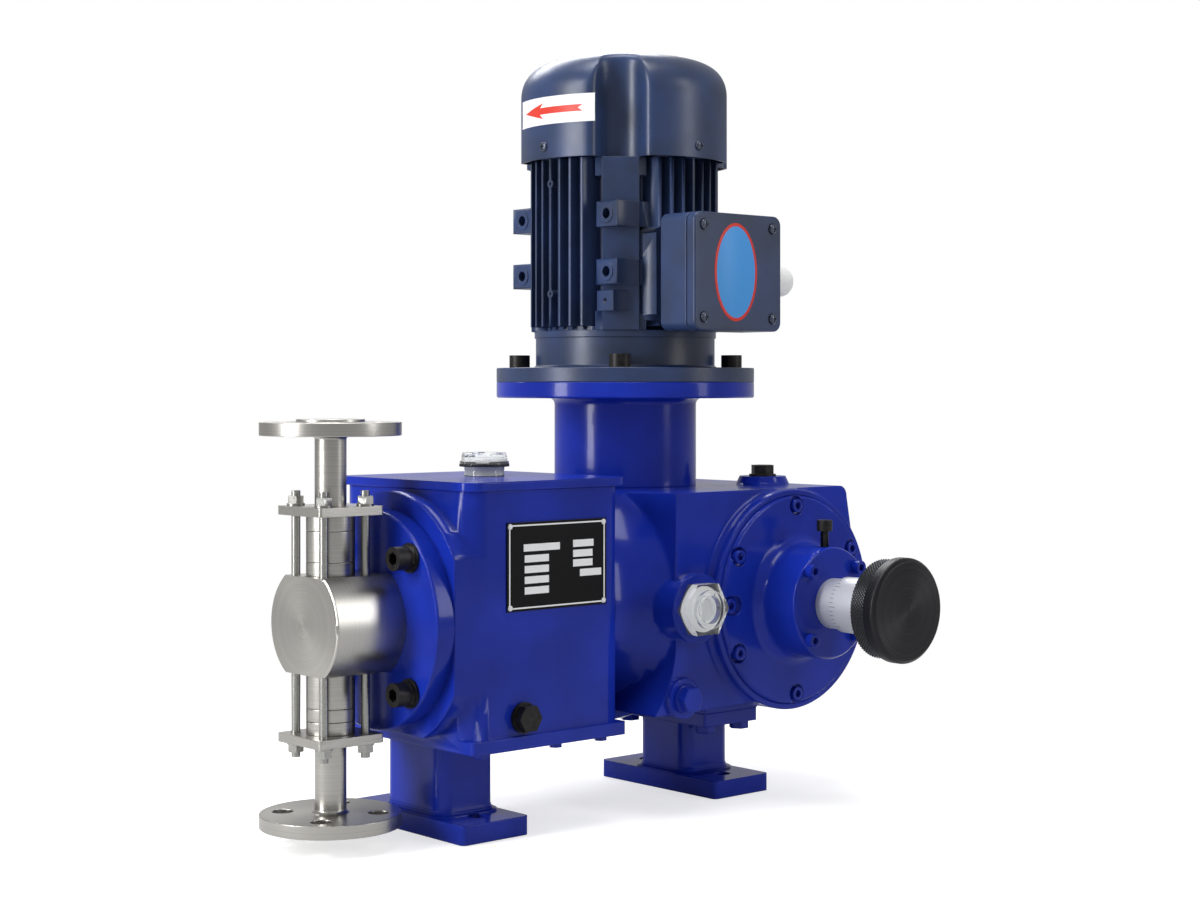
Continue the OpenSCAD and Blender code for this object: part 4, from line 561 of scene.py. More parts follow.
SLOT_FINISHES: dict[Slot, Finish] = {
    Slot.BLUE_ENAMEL: CastEnamel("gloss_blue_enamel", "#1830a6", 0.2, edge_mm=1.6, specular=0.13),
    Slot.MOTOR_PAINT: DieCastPaint("satin_slate_paint", "#2c3d64", 0.33, edge_mm=0.8,
                                   specular=0.4),
    Slot.STAINLESS: TurnedMetal("turned_stainless", STEEL, 0.3, 1.0, depth_mm=0.008, streak=0.06,
                                dark=STEEL_DARK, edge_mm=0.3),
    Slot.BLACK_OXIDE: BlackOxide("black_oxide", "#1b1b1d", 0.42, 0.7, edge_mm=0.4),
    Slot.ZINC: BrushedMetal("zinc_plate", "#a9a9a6", 0.32, 1.0, dark="#8d8c88"),
    Slot.MACHINED_STEEL: TurnedMetal("ground_steel", "#9c9da0", 0.28, 1.0, dark="#83858a"),
    Slot.IRON: CastMetal("machined_iron", "#6b6d70", 0.5, 0.8),
    Slot.BRONZE: CastMetal("wheel_bronze", "#b08a45", 0.4, 1.0, second_colour="#8e6b30"),
    Slot.COPPER: CastMetal("lacquered_copper", "#8d4f2a", 0.45, 0.8, second_colour="#6e3b20"),
    Slot.SATIN_ALUMINIUM: TurnedMetal("satin_aluminium", "#c9cbd0", 0.36, 1.0, Axis.Y,
                                      dark="#b3b6bc", mark_mm=0.5),
    Slot.BLACK_ALUMINIUM: BlackOxide("black_anodised", "#141416", 0.4, 0.5),
    Slot.CLEAR_PLASTIC: ClearMoulding("clear_polycarbonate", "#f8fafb", 0.03),
    Slot.WHITE_PLASTIC: MouldedPlastic("white_nylon", "#d9dbdd", 0.4, second_colour="#cdcfd1",
                                       edge_mm=0.6),
    Slot.BLACK_PLASTIC: MouldedPlastic("fan_nylon", "#1c1d1f", 0.5),
    Slot.RUBBER: MouldedPlastic("nitrile_rubber", "#101011", 0.55),
    Slot.PACKING: MouldedPlastic("braided_packing", "#cfc8b4", 0.7, grain_mm=1.5),
    Slot.PLATE: PrintedFilm("black_plate", "#08080b", 0.42, specular=0.12),
}


# ---------------------------------------------------------------- mesh making


def from_bmesh(name: str, bm: bmesh.types.BMesh, mend: bool = True) -> bpy.types.Object:
    """Makes a piece at the origin of a bmesh, and frees the bmesh.

    Args:
        name: the piece's name.
        bm: its faces.
        mend: merge doubles and turn the faces outwards first.

    Returns:
        The piece.
    """
    if mend:
        bmesh.ops.remove_doubles(bm, verts=bm.verts, dist=1e-6)
        bmesh.ops.recalc_face_normals(bm, faces=bm.faces)
    mesh = bpy.data.meshes.new(name)
    bm.to_mesh(mesh)
    bm.free()
    piece = bpy.data.objects.new(name, mesh)
    bpy.context.scene.collection.objects.link(piece)
    return piece


def settle(piece: bpy.types.Object) -> bpy.types.Object:
    """Turns a piece and its modifiers to a plain mesh.

    Args:
        piece: the piece, which loses its modifiers.

    Returns:
        The same piece.
    """
    bpy.context.view_layer.update()
    graph = bpy.context.evaluated_depsgraph_get()
    mesh = bpy.data.meshes.new_from_object(piece.evaluated_get(graph))
    piece.modifiers.clear()
    piece.data = mesh
    return piece


def shade(piece: bpy.types.Object, sharp_deg: float = 32.0) -> bpy.types.Object:
    """Shades a piece smooth, except across sharp edges.

    Args:
        piece: the piece.
        sharp_deg: angle from which an edge stays sharp.

    Returns:
        The same piece.
    """
    mesh = piece.data
    mesh.polygons.foreach_set("use_smooth", [True] * len(mesh.polygons))
    mesh.set_sharp_from_angle(angle=math.radians(sharp_deg))
    return piece


def weigh(piece: bpy.types.Object) -> bpy.types.Object:
    """Weighs normals by the area of the faces, so flat faces look flat beside round ones.

    Args:
        piece: the piece, already shaded.

    Returns:
        The same piece.
    """
    modifier = piece.modifiers.new("weights", "WEIGHTED_NORMAL")
    modifier.keep_sharp, modifier.weight = True, 80
    return settle(piece)


def drop(*parts: bpy.types.Object) -> None:
    """Deletes parts that were only copied from or cut with."""
    for part in parts:
        bpy.data.objects.remove(part)


def merged(name: str, pieces: Sequence[bpy.types.Object]) -> bpy.types.Object:
    """Joins pieces to one object and deletes the single ones.

    Args:
        name: the new piece's name.
        pieces: what it is made of.

    Returns:
        The new piece.
    """
    bm = bmesh.new()
    for piece in pieces:
        bm.from_mesh(piece.data)
    drop(*pieces)
    return from_bmesh(name, bm, mend=False)


def in_mm(points: Profile) -> Profile:
    """Turns a profile in millimetres to metres."""
    return [(radius * MM, height * MM) for radius, height in points]


def dome(radius: float, height: float, steps: int, seat: float = 0.0) -> Profile:
    """Lists the profile of a dome, from its top down to its seat.

    Args:
        radius: radius of the seat.
        height: height of the top over the seat.
        steps: faces from top to seat.
        seat: height of the seat.

    Returns:
        Radius and height of each point.
    """
    return [(radius * math.sin(a), seat + height * math.cos(a))
            for a in (math.pi / 2 * i / steps for i in range(steps + 1))]


def span(bm: bmesh.types.BMesh, rings: Sequence[Sequence[bmesh.types.BMVert]]) -> None:
    """Joins each ring of points to the next one with a band of faces.

    Args:
        bm: takes the faces.
        rings: rings with the same number of points, where one point may fill a whole ring.
    """
    for low, high in zip(rings, rings[1:]):
        for i in range(len(low)):
            j = (i + 1) % len(low)
            corners = list(dict.fromkeys((low[i], low[j], high[j], high[i])))
            if len(corners) > 2:
                bm.faces.new(corners)


def lathe(name: str, profile: Profile, steps: int = 64) -> bpy.types.Object:
    """Turns a profile about local Z to a closed piece.

    Args:
        name: the piece's name.
        profile: radius and height of each point, from one end of the axis to the other.
        steps: sides of the circle.

    Returns:
        The turned piece.
    """
    bm = bmesh.new()
    turns = [2 * math.pi * i / steps for i in range(steps)]
    rings = [[bm.verts.new((radius * math.cos(a), radius * math.sin(a), height)) for a in turns]
             if radius > 0 else [bm.verts.new((0, 0, height))] * steps
             for radius, height in profile]
    span(bm, rings)
    for ring in (rings[0], rings[-1]):
        if len(set(ring)) > 2:
            bm.faces.new(ring)
    return shade(from_bmesh(name, bm))


def block(name: str, low: Sequence[float], high: Sequence[float]) -> bpy.types.Object:
    """Makes a block.

    Args:
        name: the piece's name.
        low: its lowest corner.
        high: its highest corner.

    Returns:
        The block.
    """
    bm = bmesh.new()
    bmesh.ops.create_cube(bm, size=1.0)
    low, high = Vector(low), Vector(high)
    bm.transform(Matrix.Translation((low + high) / 2) @ Matrix.Diagonal(high - low).to_4x4())
    return from_bmesh(name, bm)


def cut(piece: bpy.types.Object, *tools: bpy.types.Object) -> bpy.types.Object:
    """Cuts tools out of a piece and deletes the tools.

    Args:
        piece: the piece.
        *tools: closed solids.

    Returns:
        The same piece.
    """
    for tool in tools:
        modifier = piece.modifiers.new("cut", "BOOLEAN")
        modifier.operation, modifier.object, modifier.solver = "DIFFERENCE", tool, "EXACT"
    settle(piece)
    drop(*tools)
    return piece


def put(piece: bpy.types.Object, matrix: Matrix) -> bpy.types.Object:
    """Moves a piece by moving its mesh, so the object stays at the origin.

    Args:
        piece: the piece.
        matrix: the move, without a mirror in it.

    Returns:
        The same piece.
    """
    piece.data.transform(matrix)
    piece.data.update()
    return piece


def facing(place: Sequence[float], outward: Vector) -> Matrix:
    """Builds the matrix that takes local Z to a level direction and local Y to straight up.

    Args:
        place: where the local origin goes.
        outward: where local Z points.

    Returns:
        The matrix.
    """
    z = outward.normalized()
    x = Vector((0, 0, 1)).cross(z).normalized()
    turn = Matrix((x, z.cross(x), z)).transposed().to_4x4()
    return Matrix.Translation(place) @ turn


def ends(node: str) -> tuple[Vector, Vector, Vector]:
    """Measures a CAD node at rest.

    Args:
        node: the node's name.

    Returns:
        The lowest corner, the highest corner and the centre of its box.
    """
    low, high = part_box(node)
    return low, high, (low + high) / 2


# ---------------------------------------------------------------- finishing and mounting


class Workshop:
    """Gives finishes to the frame's nodes and to new pieces, and mounts them on their bodies."""

    def __init__(self, frame: dict) -> None:
        """Reads which body and slot each node has.
        """
        record = frame["record"]
        self.nodes = frame["nodes"]
        self.body_of = {node: body for body, nodes in record["behaviour"]["bodies"].items()
                        for node in nodes}
        self.slot_of = {part["node"]: Slot(part["material_slot"]) for part in record["subparts"]}
        self.made: dict[Finish, bpy.types.Material] = {}

    def material(self, finish: Finish) -> bpy.types.Material:
        """Looks up the material of a finish, and makes it once.

        Args:
            finish: the finish.

        Returns:
            Its material.
        """
        if finish not in self.made:
            self.made[finish] = finish.build()
        return self.made[finish]

    def mount(self, piece: bpy.types.Object, body: str, slot: Slot,
              finish: Optional[Finish] = None) -> None:
        """Finishes a new piece and lets it ride on a body.

        Args:
            piece: the new piece.
            body: the CAD body that carries it.
            slot: the record's material slot that it belongs to.
            finish: its finish, where it differs from the slot's own.
        """
        piece.data.materials.clear()
        piece.data.materials.append(self.material(finish or SLOT_FINISHES[slot]))
        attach(piece, body)
        LOG.info("piece %s on %s: %d faces", piece.name, body, len(piece.data.polygons))

    def refine(self, node: str, finish: Optional[Finish] = None, width_mm: float = 0.0,
               segments: int = 3) -> None:
        """Stands a merged, smooth-shaded copy in for a CAD node.

        Args:
            node: the CAD node.
            finish: its finish, where it differs from the slot's own.
            width_mm: width of the rounded edges; none are rounded if it is nothing.
            segments: faces across each rounded edge.
        """
        bm = bmesh.new()
        bm.from_mesh(self.nodes[node].data)
        bmesh.ops.remove_doubles(bm, verts=bm.verts, dist=2e-6)
        bmesh.ops.dissolve_limit(bm, angle_limit=math.radians(0.05), verts=bm.verts,
                                 edges=bm.edges)
        piece = from_bmesh(node + "_finished", bm, mend=False)
        if width_mm > 0:
            bevel = piece.modifiers.new("edges", "BEVEL")
            bevel.width, bevel.segments = width_mm * MM, segments
            bevel.limit_method, bevel.angle_limit = "ANGLE", math.radians(32)
            bevel.use_clamp_overlap = False
            settle(piece)
        weigh(shade(piece, sharp_deg=38))
        self.mount(piece, self.body_of[node], self.slot_of[node], finish)
        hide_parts(node)

    def coat(self, node: str) -> None:
        """Gives a CAD node its slot's finish and leaves its mesh alone."""
        for place in self.nodes[node].material_slots:
            place.material = self.material(SLOT_FINISHES[self.slot_of[node]])


# ---------------------------------------------------------------- repeats by Geometry Nodes


class Repeat(NodeWork):
    """A Geometry Nodes tree with named inputs that places copies of a part."""

    def __init__(self, name: str, **sizes: float) -> None:
        """Starts the tree.

        Args:
            name: the tree's name.
            **sizes: default of each named input besides Part and Finish, with an underscore for
                each space. A whole number makes an input for whole numbers.
        """
        super().__init__(bpy.data.node_groups.new(name, "GeometryNodeTree"))
        face = self.tree.interface
        face.new_socket("Geometry", in_out="OUTPUT", socket_type="NodeSocketGeometry")
        face.new_socket("Part", in_out="INPUT", socket_type="NodeSocketObject")
        face.new_socket("Finish", in_out="INPUT", socket_type="NodeSocketMaterial")
        for label, value in sizes.items():
            kind = "NodeSocketInt" if isinstance(value, int) else "NodeSocketFloat"
            entry = face.new_socket(label.replace("_", " "), in_out="INPUT", socket_type=kind)
            entry.default_value = value
        self.start = self.tree.nodes.new("NodeGroupInput").outputs

    def around(self, count: Socket, angle: Socket, height: Optional[Socket] = None
               ) -> tuple[Socket, Socket]:
        """Lays points round local Z, at the tree's own radius.

        Args:
            count: how many points.
            angle: the angle of each point.
            height: the height of each point, nothing for a flat circle.

        Returns:
            The points, and the rotation that turns each copy outwards.
        """
        spot = {} if height is None else {2: height}
        for axis, wave in enumerate(("COSINE", "SINE")):
            share = self.add(MATH, {"operation": wave}, {0: angle})
            spot[axis] = self.add(MATH, {"operation": "MULTIPLY"},
                                  {0: share, 1: self.start["Radius"]})
        points = self.add("GeometryNodeSetPosition", links={
            "Geometry": self.add("GeometryNodeMeshLine", links={"Count": count}),
            "Position": self.add("ShaderNodeCombineXYZ", links=spot)})
        return points, self.add("ShaderNodeCombineXYZ", links={2: angle})

    def close(self, points: Socket, turn: Optional[Socket] = None,
              scale: Optional[Socket] = None) -> None:
        """Puts the part on the points, makes the copies real and gives them the finish.

        Args:
            points: the points that carry copies.
            turn: rotation of each copy.
            scale: scale of each copy.
        """
        part = self.add("GeometryNodeObjectInfo", links={"Object": self.start["Part"]},
                        output="Geometry")
        links = {"Points": points, "Instance": part, "Rotation": turn, "Scale": scale}
        copies = self.add("GeometryNodeInstanceOnPoints",
                          links={key: link for key, link in links.items() if link is not None})
        real = self.add("GeometryNodeRealizeInstances", links={0: copies})
        done = self.add("GeometryNodeSetMaterial", links={
            "Geometry": real, "Material": self.start["Finish"]})
        add_node(self.tree, "NodeGroupOutput", links={0: done})

    def grow(self, name: str, part: bpy.types.Object, finish: bpy.types.Material,
             place: Matrix, **sizes: float) -> bpy.types.Object:
        """Runs the tree once, turns its result to a plain piece and deletes the part.

        Args:
            name: the piece's name.
            part: the part that is copied.
            finish: the material of the copies.
            place: where the tree's own origin and axes go.
            **sizes: the named inputs, with an underscore for each space.

        Returns:
            The piece, with its place in its mesh.
        """
        carrier = from_bmesh(name, bmesh.new(), mend=False)
        modifier = carrier.modifiers.new("repeat", "NODES")
        modifier.node_group = self.tree
        keys = {entry.name: entry.identifier for entry in self.tree.interface.items_tree
                if entry.in_out == "INPUT"}
        for label, value in {"Part": part, "Finish": finish, **sizes}.items():
            modifier[keys[label.replace("_", " ")]] = value
        settle(carrier)
        drop(part)
        return shade(put(carrier, place))


def ring_repeat() -> Repeat:
    """Builds the tree that puts copies on a circle in local XY, each turned outwards.

    Returns:
        The tree.
    """
    tree = Repeat("copies_on_a_circle", Count=6, Radius=0.01, First_Angle=0.0, Step_Angle=1.0)
    index = tree.add("GeometryNodeInputIndex")
    turn = tree.add(MATH, {"operation": "MULTIPLY"}, {0: index, 1: tree.start["Step Angle"]})
    angle = tree.add(MATH, {"operation": "ADD"}, {0: turn, 1: tree.start["First Angle"]})
    tree.close(*tree.around(tree.start["Count"], angle))
    return tree


def grid_repeat() -> Repeat:
    """Builds the tree that puts copies on a flat grid in local XY.

    Returns:
        The tree.
    """
    tree = Repeat("copies_on_a_grid", Columns=2, Rows=2, Width=0.01, Height=0.01)
    tree.close(tree.add("GeometryNodeMeshGrid", links={
        "Size X": tree.start["Width"], "Size Y": tree.start["Height"],
        "Vertices X": tree.start["Columns"], "Vertices Y": tree.start["Rows"]}))
    return tree


def tick_repeat() -> Repeat:
    """Builds the tree that lays scale ticks round local Z, some of them longer.

    Returns:
        The tree.
    """
    tree = Repeat("scale_ticks", Count=40, Radius=0.02, Long_Every=5, Long_Scale=1.7)
    index = tree.add("GeometryNodeInputIndex")
    turn = tree.add(MATH, {"operation": "MULTIPLY", 1: 2 * math.pi}, {0: index})
    angle = tree.add(MATH, {"operation": "DIVIDE"}, {0: turn, 1: tree.start["Count"]})
    left = tree.add(MATH, {"operation": "MODULO"}, {0: index, 1: tree.start["Long Every"]})
    is_long = tree.add(MATH, {"operation": "LESS_THAN", 1: 0.5}, {0: left})
    extra = tree.add(MATH, {"operation": "SUBTRACT", 1: 1.0}, {0: tree.start["Long Scale"]})
    added = tree.add(MATH, {"operation": "MULTIPLY"}, {0: is_long, 1: extra})
    length = tree.add(MATH, {"operation": "ADD", 1: 1.0}, {0: added})
    scale = tree.add("ShaderNodeCombineXYZ", {0: 1.0, 1: 1.0}, {2: length})
    tree.close(*tree.around(tree.start["Count"], angle), scale)
    return tree


def knurl_repeat() -> Repeat:
    """Builds the tree that staggers small pyramids round local Z as a diamond knurl.

    Returns:
        The tree.
    """
    tree = Repeat("diamond_knurl", Around=90, Rows=8, Radius=0.03, Pitch=0.001)
    around = tree.start["Around"]
    count = tree.add(MATH, {"operation": "MULTIPLY"}, {0: around, 1: tree.start["Rows"]})
    index = tree.add("GeometryNodeInputIndex")
    middle = tree.add(MATH, {"operation": "ADD", 1: 0.5}, {0: index})
    rounds = tree.add(MATH, {"operation": "DIVIDE"}, {0: middle, 1: around})
    row = tree.add(MATH, {"operation": "FLOOR"}, {0: rounds})
    first = tree.add(MATH, {"operation": "MULTIPLY"}, {0: row, 1: around})
    column = tree.add(MATH, {"operation": "SUBTRACT"}, {0: index, 1: first})
    odd = tree.add(MATH, {"operation": "MODULO", 1: 2.0}, {0: row})
    shift = tree.add(MATH, {"operation": "MULTIPLY", 1: 0.5}, {0: odd})
    place = tree.add(MATH, {"operation": "ADD"}, {0: column, 1: shift})
    turn = tree.add(MATH, {"operation": "DIVIDE"}, {0: place, 1: around})
    angle = tree.add(MATH, {"operation": "MULTIPLY", 1: 2 * math.pi}, {0: turn})
    height = tree.add(MATH, {"operation": "MULTIPLY"}, {0: row, 1: tree.start["Pitch"]})
    tree.close(*tree.around(count, angle, height))
    return tree


@dataclass
class Templates:
    """Small parts that the repeats copy, and the repeats themselves."""

    ring: Repeat = field(default_factory=ring_repeat)
    grid: Repeat = field(default_factory=grid_repeat)
    ticks: Repeat = field(default_factory=tick_repeat)
    knurl: Repeat = field(default_factory=knurl_repeat)

    def cross_screw(self, radius: float, height: float, washer: float = 0.0) -> bpy.types.Object:
        """Makes a round-head screw with a cross slot, its seat on local z = 0.

        Args:
            radius: radius of the head.
            height: height of the head.
            washer: radius of the washer under it, nothing for none.

        Returns:
            The screw.
        """
        top = dome(radius, height * 0.7, steps=6, seat=height * 0.3)[1:]
        collar = [(washer, height * 0.16), (washer, 0.0)] if washer > 0 else []
        head = lathe("cross_screw", [(0.0, height), *top, (radius, 0.0), *collar, (0.0, 0.0)],
                     steps=28)
        half, slot, floor = radius * 0.62, radius * 0.13, height * 0.35
        bars = [block("slot", (-a, -b, floor), (a, b, 2 * height))
                for a, b in ((half, slot), (slot, half))]
        return shade(cut(head, *bars))

    def rivet(self, radius: float, height: float) -> bpy.types.Object:
        """Makes a dome-head rivet, its seat on local z = 0."""
        return lathe("rivet", [*dome(radius, height, steps=6), (0.0, 0.0)], steps=20)


# ---------------------------------------------------------------- sub-assemblies


@dataclass
class SubAssembly:
    """A group of neighbouring pieces that are dressed together."""

    shop: Workshop
    kit: Templates

    def build(self) -> None:
        """Dresses the group's nodes and adds its small pieces."""

    def pin_corners(self, name: str, node: str, part: bpy.types.Object, inset_mm: float,
                    slot: Slot, finish: Finish) -> None:
        """Puts a fastener near each corner of a CAD node's front.

        Args:
            name: the piece's name.
            node: the CAD node.
            part: the fastener, which is used up.
            inset_mm: how far in from the edges the fasteners stand.
            slot: the record's material slot that they belong to.
            finish: their finish.
        """
        low, high, centre = ends(node)
        pins = self.kit.grid.grow(
            name, part, self.shop.material(finish), facing((centre.x, low.y, centre.z), FRONT),
            Width=high.x - low.x - 2 * inset_mm * MM, Height=high.z - low.z - 2 * inset_mm * MM)
        self.shop.mount(pins, "casing", slot, finish)


@dataclass
class CrossheadCase(SubAssembly):
    """The box between the liquid end and the gearbox, with its lid, feet and blank plate."""

    castings: tuple[str, ...] = (
        "crosshead_housing", "front_foot", "rear_foot", "housing_lid", "head_flange",
        "foot_flange_bolts", "crosshead_drain_plug", "filler_cap", "filler_seal_ring")
    border_inset_mm: float = 1.6
    border_line_mm: float = 1.0
    print_proud_mm: float = 0.12
    print_sunk_mm: float = 0.05
    # Half the height of a field, and the fields themselves, as shares of the plate
    field_half: float = 0.041
    left_fields: Fields = (((0.16, 0.52), (0.17, 0.41), (0.17, 0.41), (0.17, 0.41), (0.17, 0.41)),
                           (0.29, 0.415, 0.535, 0.655, 0.775))
    right_fields: Fields = (((0.655, 0.865), (0.655, 0.855), (0.655, 0.855), (0.725, 0.945)),
                            (0.275, 0.39, 0.5, 0.615))
    rivet_r_mm: float = 2.0
    rivet_h_mm: float = 1.0
    rivet_inset_mm: float = 2.6
    # The cap's white liner is partly painted highlight: it makes the clear cap look as bright as
    # its reflections.
    highlight_liner_mm: Profile = ((0, 0.6), (10.4, 0.6), (10.4, 9.4), (15.0, 9.8), (14.2, 12.4),
                         (13.2, 12.8), (12.2, 11.2), (0, 11.2))

    def build(self) -> None:
        """Dresses the castings and adds the plate's print and rivets and the cap's white liner,
        partly painted highlight.
        """
        for node in self.castings:
            self.shop.refine(node)
        self.shop.coat("nameplate")
        self.print_plate()
        self.pin_corners("nameplate_rivets", "nameplate",
                         self.kit.rivet(self.rivet_r_mm * MM, self.rivet_h_mm * MM),
                         self.rivet_inset_mm, Slot.ZINC, BRIGHT_RIVET)
        self.add_highlight_liner()

    def add_highlight_liner(self) -> None:
        """Adds a white liner in the clear filler cap: a white rim, and partly painted highlight of
        the cap's reflections.
        """
        centre, seat = ends("filler_cap")[2], ends("housing_lid")[1]
        liner = lathe("filler_liner", in_mm(self.highlight_liner_mm), steps=48)
        put(liner, Matrix.Translation((centre.x, centre.y, seat.z)))
        self.shop.mount(liner, "casing", Slot.WHITE_PLASTIC, WHITE_NYLON)

    def print_plate(self) -> None:
        """Adds the white border and the blank fields of the plate."""
        low, high, _ = ends("nameplate")
        inset, line = self.border_inset_mm * MM, self.border_line_mm * MM
        left, right, bottom, top = low.x + inset, high.x - inset, low.z + inset, high.z - inset
        bars = [(left, bottom, right, bottom + line), (left, top - line, right, top),
                (left, bottom, left + line, top), (right - line, bottom, right, top)]
        wide, tall = high.x - low.x, high.z - low.z
        half = self.field_half * tall
        for columns, rows in (self.left_fields, self.right_fields):
            for (x0, x1), row in zip(columns, rows):
                z = high.z - row * tall
                bars.append((low.x + x0 * wide, z - half, low.x + x1 * wide, z + half))
        front, back = low.y - self.print_proud_mm * MM, low.y + self.print_sunk_mm * MM
        blocks = [block("bar", (x0, front, z0), (x1, back, z1)) for x0, z0, x1, z1 in bars]
        self.shop.mount(merged("nameplate_print", blocks), "casing", Slot.PLATE, WHITE_PRINT)


@dataclass
class Gearbox(SubAssembly):
    """The gearbox casting with its cover, plugs and sight glass, and the motor's lantern."""

    castings: tuple[str, ...] = (
        "gearbox_housing", "gear_cover", "motor_lantern", "cover_screws", "gearbox_drain_plug",
        "vent_plug", "sight_glass")
    # The white dish behind the sight glass is partly a real reflector and partly painted highlight,
    # which makes the clear glass look as bright as its reflections.
    dish_back_mm: float = 13.0
    dish_mm: Profile = ((0, 2.6), (7.0, 2.2), (8.4, 4.4), (10.2, 4.4), (11.4, 1.2), (16.4, 1.2),
                        (16.4, 0.4), (0, 0.4))

    def build(self) -> None:
        """Dresses the castings, the cover and the plugs, and adds the sight glass's white
        reflector, partly a painted highlight.
        """
        for node in self.castings:
            self.shop.refine(node)
        low, _, centre = ends("sight_glass")
        seat = (centre.x, low.y + self.dish_back_mm * MM, centre.z)
        dish = lathe("sight_reflector", in_mm(self.dish_mm), steps=48)
        put(dish, facing(seat, FRONT))
        self.shop.mount(dish, "casing", Slot.WHITE_PLASTIC, WHITE_NYLON)


@dataclass
class StrokeControl(SubAssembly):
    """The knob, dial, sleeve and lock screw that set the stroke."""

    knob_edge_mm: float = 0.7
    tick_w_mm: float = 0.35
    tick_len_mm: float = 3.0
    tick_proud_mm: float = 0.08
    tick_sunk_mm: float = 0.05
    tick_inset_mm: float = 0.4
    ticks: int = 40
    long_every: int = 5
    long_scale: float = 1.8
    band_inset_mm: float = 2.5
    band_back_mm: float = 2.0
    point_mm: float = 1.25
    point_h_mm: float = 0.75
    point_root_mm: float = 0.1
    points_around: int = 88
    point_rows: int = 9

    def build(self) -> None:
        """Dresses the control and adds its ticks and knurl."""
        _, _, centre = ends("stroke_knob")
        axis = (centre.x, 0.0, centre.z)
        dial = TurnedMetal("satin_dial", "#cfd1d5", 0.42, 0.45, Axis.Y, axis, mark_mm=0.45,
                           depth_mm=0.006, streak=0.05, dark="#c6c8cd", anisotropy=0.3,
                           edge_mm=0.3)
        knob = TurnedMetal("black_anodised_turning", "#2a2a2d", 0.38, 0.7, Axis.Y, axis,
                           mark_mm=1.1, depth_mm=0.04, dark="#1c1c1f", anisotropy=0.7,
                           edge_mm=0.4)
        self.shop.refine("stroke_knob", knob, self.knob_edge_mm)
        for node in ("stroke_dial", "scale_sleeve"):
            self.shop.refine(node, dial)
        self.shop.refine("lock_screw")
        self.add_ticks(axis)
        self.add_knurl(axis)

    def add_ticks(self, axis: Triple) -> None:
        """Adds the scale ticks round the dial.

        Args:
            axis: a point on the knob's axis.
        """
        low, high, _ = ends("stroke_dial")
        half = self.tick_w_mm * MM / 2
        tick = block("tick", (-self.tick_sunk_mm * MM, -half, 0),
                     (self.tick_proud_mm * MM, half, self.tick_len_mm * MM))
        place = facing((axis[0], high.y - self.tick_inset_mm * MM, axis[2]), FRONT)
        ticks = self.kit.ticks.grow(
            "dial_ticks", tick, self.shop.material(ENGRAVED_INK), place, Count=self.ticks,
            Radius=(high.x - low.x) / 2, Long_Every=self.long_every, Long_Scale=self.long_scale)
        self.shop.mount(ticks, "knob", Slot.SATIN_ALUMINIUM, ENGRAVED_INK)

    def add_knurl(self, axis: Triple) -> None:
        """Adds the diamond knurl of the knob's grip band, in a lighter grey than the knob as
        painted sheen.

        Args:
            axis: a point on the knob's axis.
        """
        low, high, _ = ends("stroke_knob")
        size, root = self.point_mm * MM, -self.point_root_mm * MM
        bm = bmesh.new()
        base = [bm.verts.new((root, y, z))
                for y, z in ((-size, 0), (0, -size), (size, 0), (0, size))]
        tip = bm.verts.new((self.point_h_mm * MM, 0, 0))
        for i in range(4):
            bm.faces.new((base[i], base[(i + 1) % 4], tip))
        bm.faces.new(base)
        place = facing((axis[0], high.y - self.band_back_mm * MM, axis[2]), FRONT)
        knurl = self.kit.knurl.grow(
            "knob_knurl", from_bmesh("knurl_point", bm), self.shop.material(KNURL_PAINTED_SHEEN), place,
            Around=self.points_around, Rows=self.point_rows,
            Radius=(high.x - low.x) / 2 - self.band_inset_mm * MM, Pitch=size)
        self.shop.mount(shade(knurl, sharp_deg=5), "knob", Slot.BLACK_ALUMINIUM, KNURL_PAINTED_SHEEN)


@dataclass
class LiquidEnd(SubAssembly):
    """The stainless pump head, its valves, yokes and pipe connections."""

    pipe_edge_mm: float = 0.5

    def build(self) -> None:
        """Dresses the wetted parts, each with its own tool marks."""
        head_at, pipe_at = ends("pump_head")[2], ends("discharge_connector")[2]
        head = TurnedMetal("turned_head_steel", STEEL, 0.32, 1.0, Axis.X,
                           (head_at.x, 0.0, head_at.z), mark_mm=0.8, depth_mm=0.006, streak=0.03,
                           dark=STEEL_DARK, edge_mm=0.5)
        pipe = TurnedMetal("turned_pipe_steel", STEEL, 0.29, 1.0, Axis.Z, (pipe_at.x, 0.0, 0.0),
                           mark_mm=0.6, depth_mm=0.003, streak=0.03, dark=STEEL_DARK,
                           anisotropy=0.35, edge_mm=0.5)
        plate = BrushedMetal("milled_yoke_steel", STEEL, 0.34, 1.0, stretch=(0.05, 1, 1),
                             scratch_mm=0.7, streak=0.07, dark=STEEL_DARK, edge_mm=0.4)
        self.shop.refine("pump_head", head)
        self.shop.refine("valve_yokes", plate)
        for node in ("discharge_connector", "suction_connector", "valve_seats", "valve_cages"):
            self.shop.refine(node, pipe, self.pipe_edge_mm, segments=2)
        for node in ("yoke_studs", "yoke_nuts", "head_flange_bolts"):
            self.shop.refine(node)
        self.shop.refine("head_flange_washers", SLOT_FINISHES[Slot.BLACK_OXIDE])


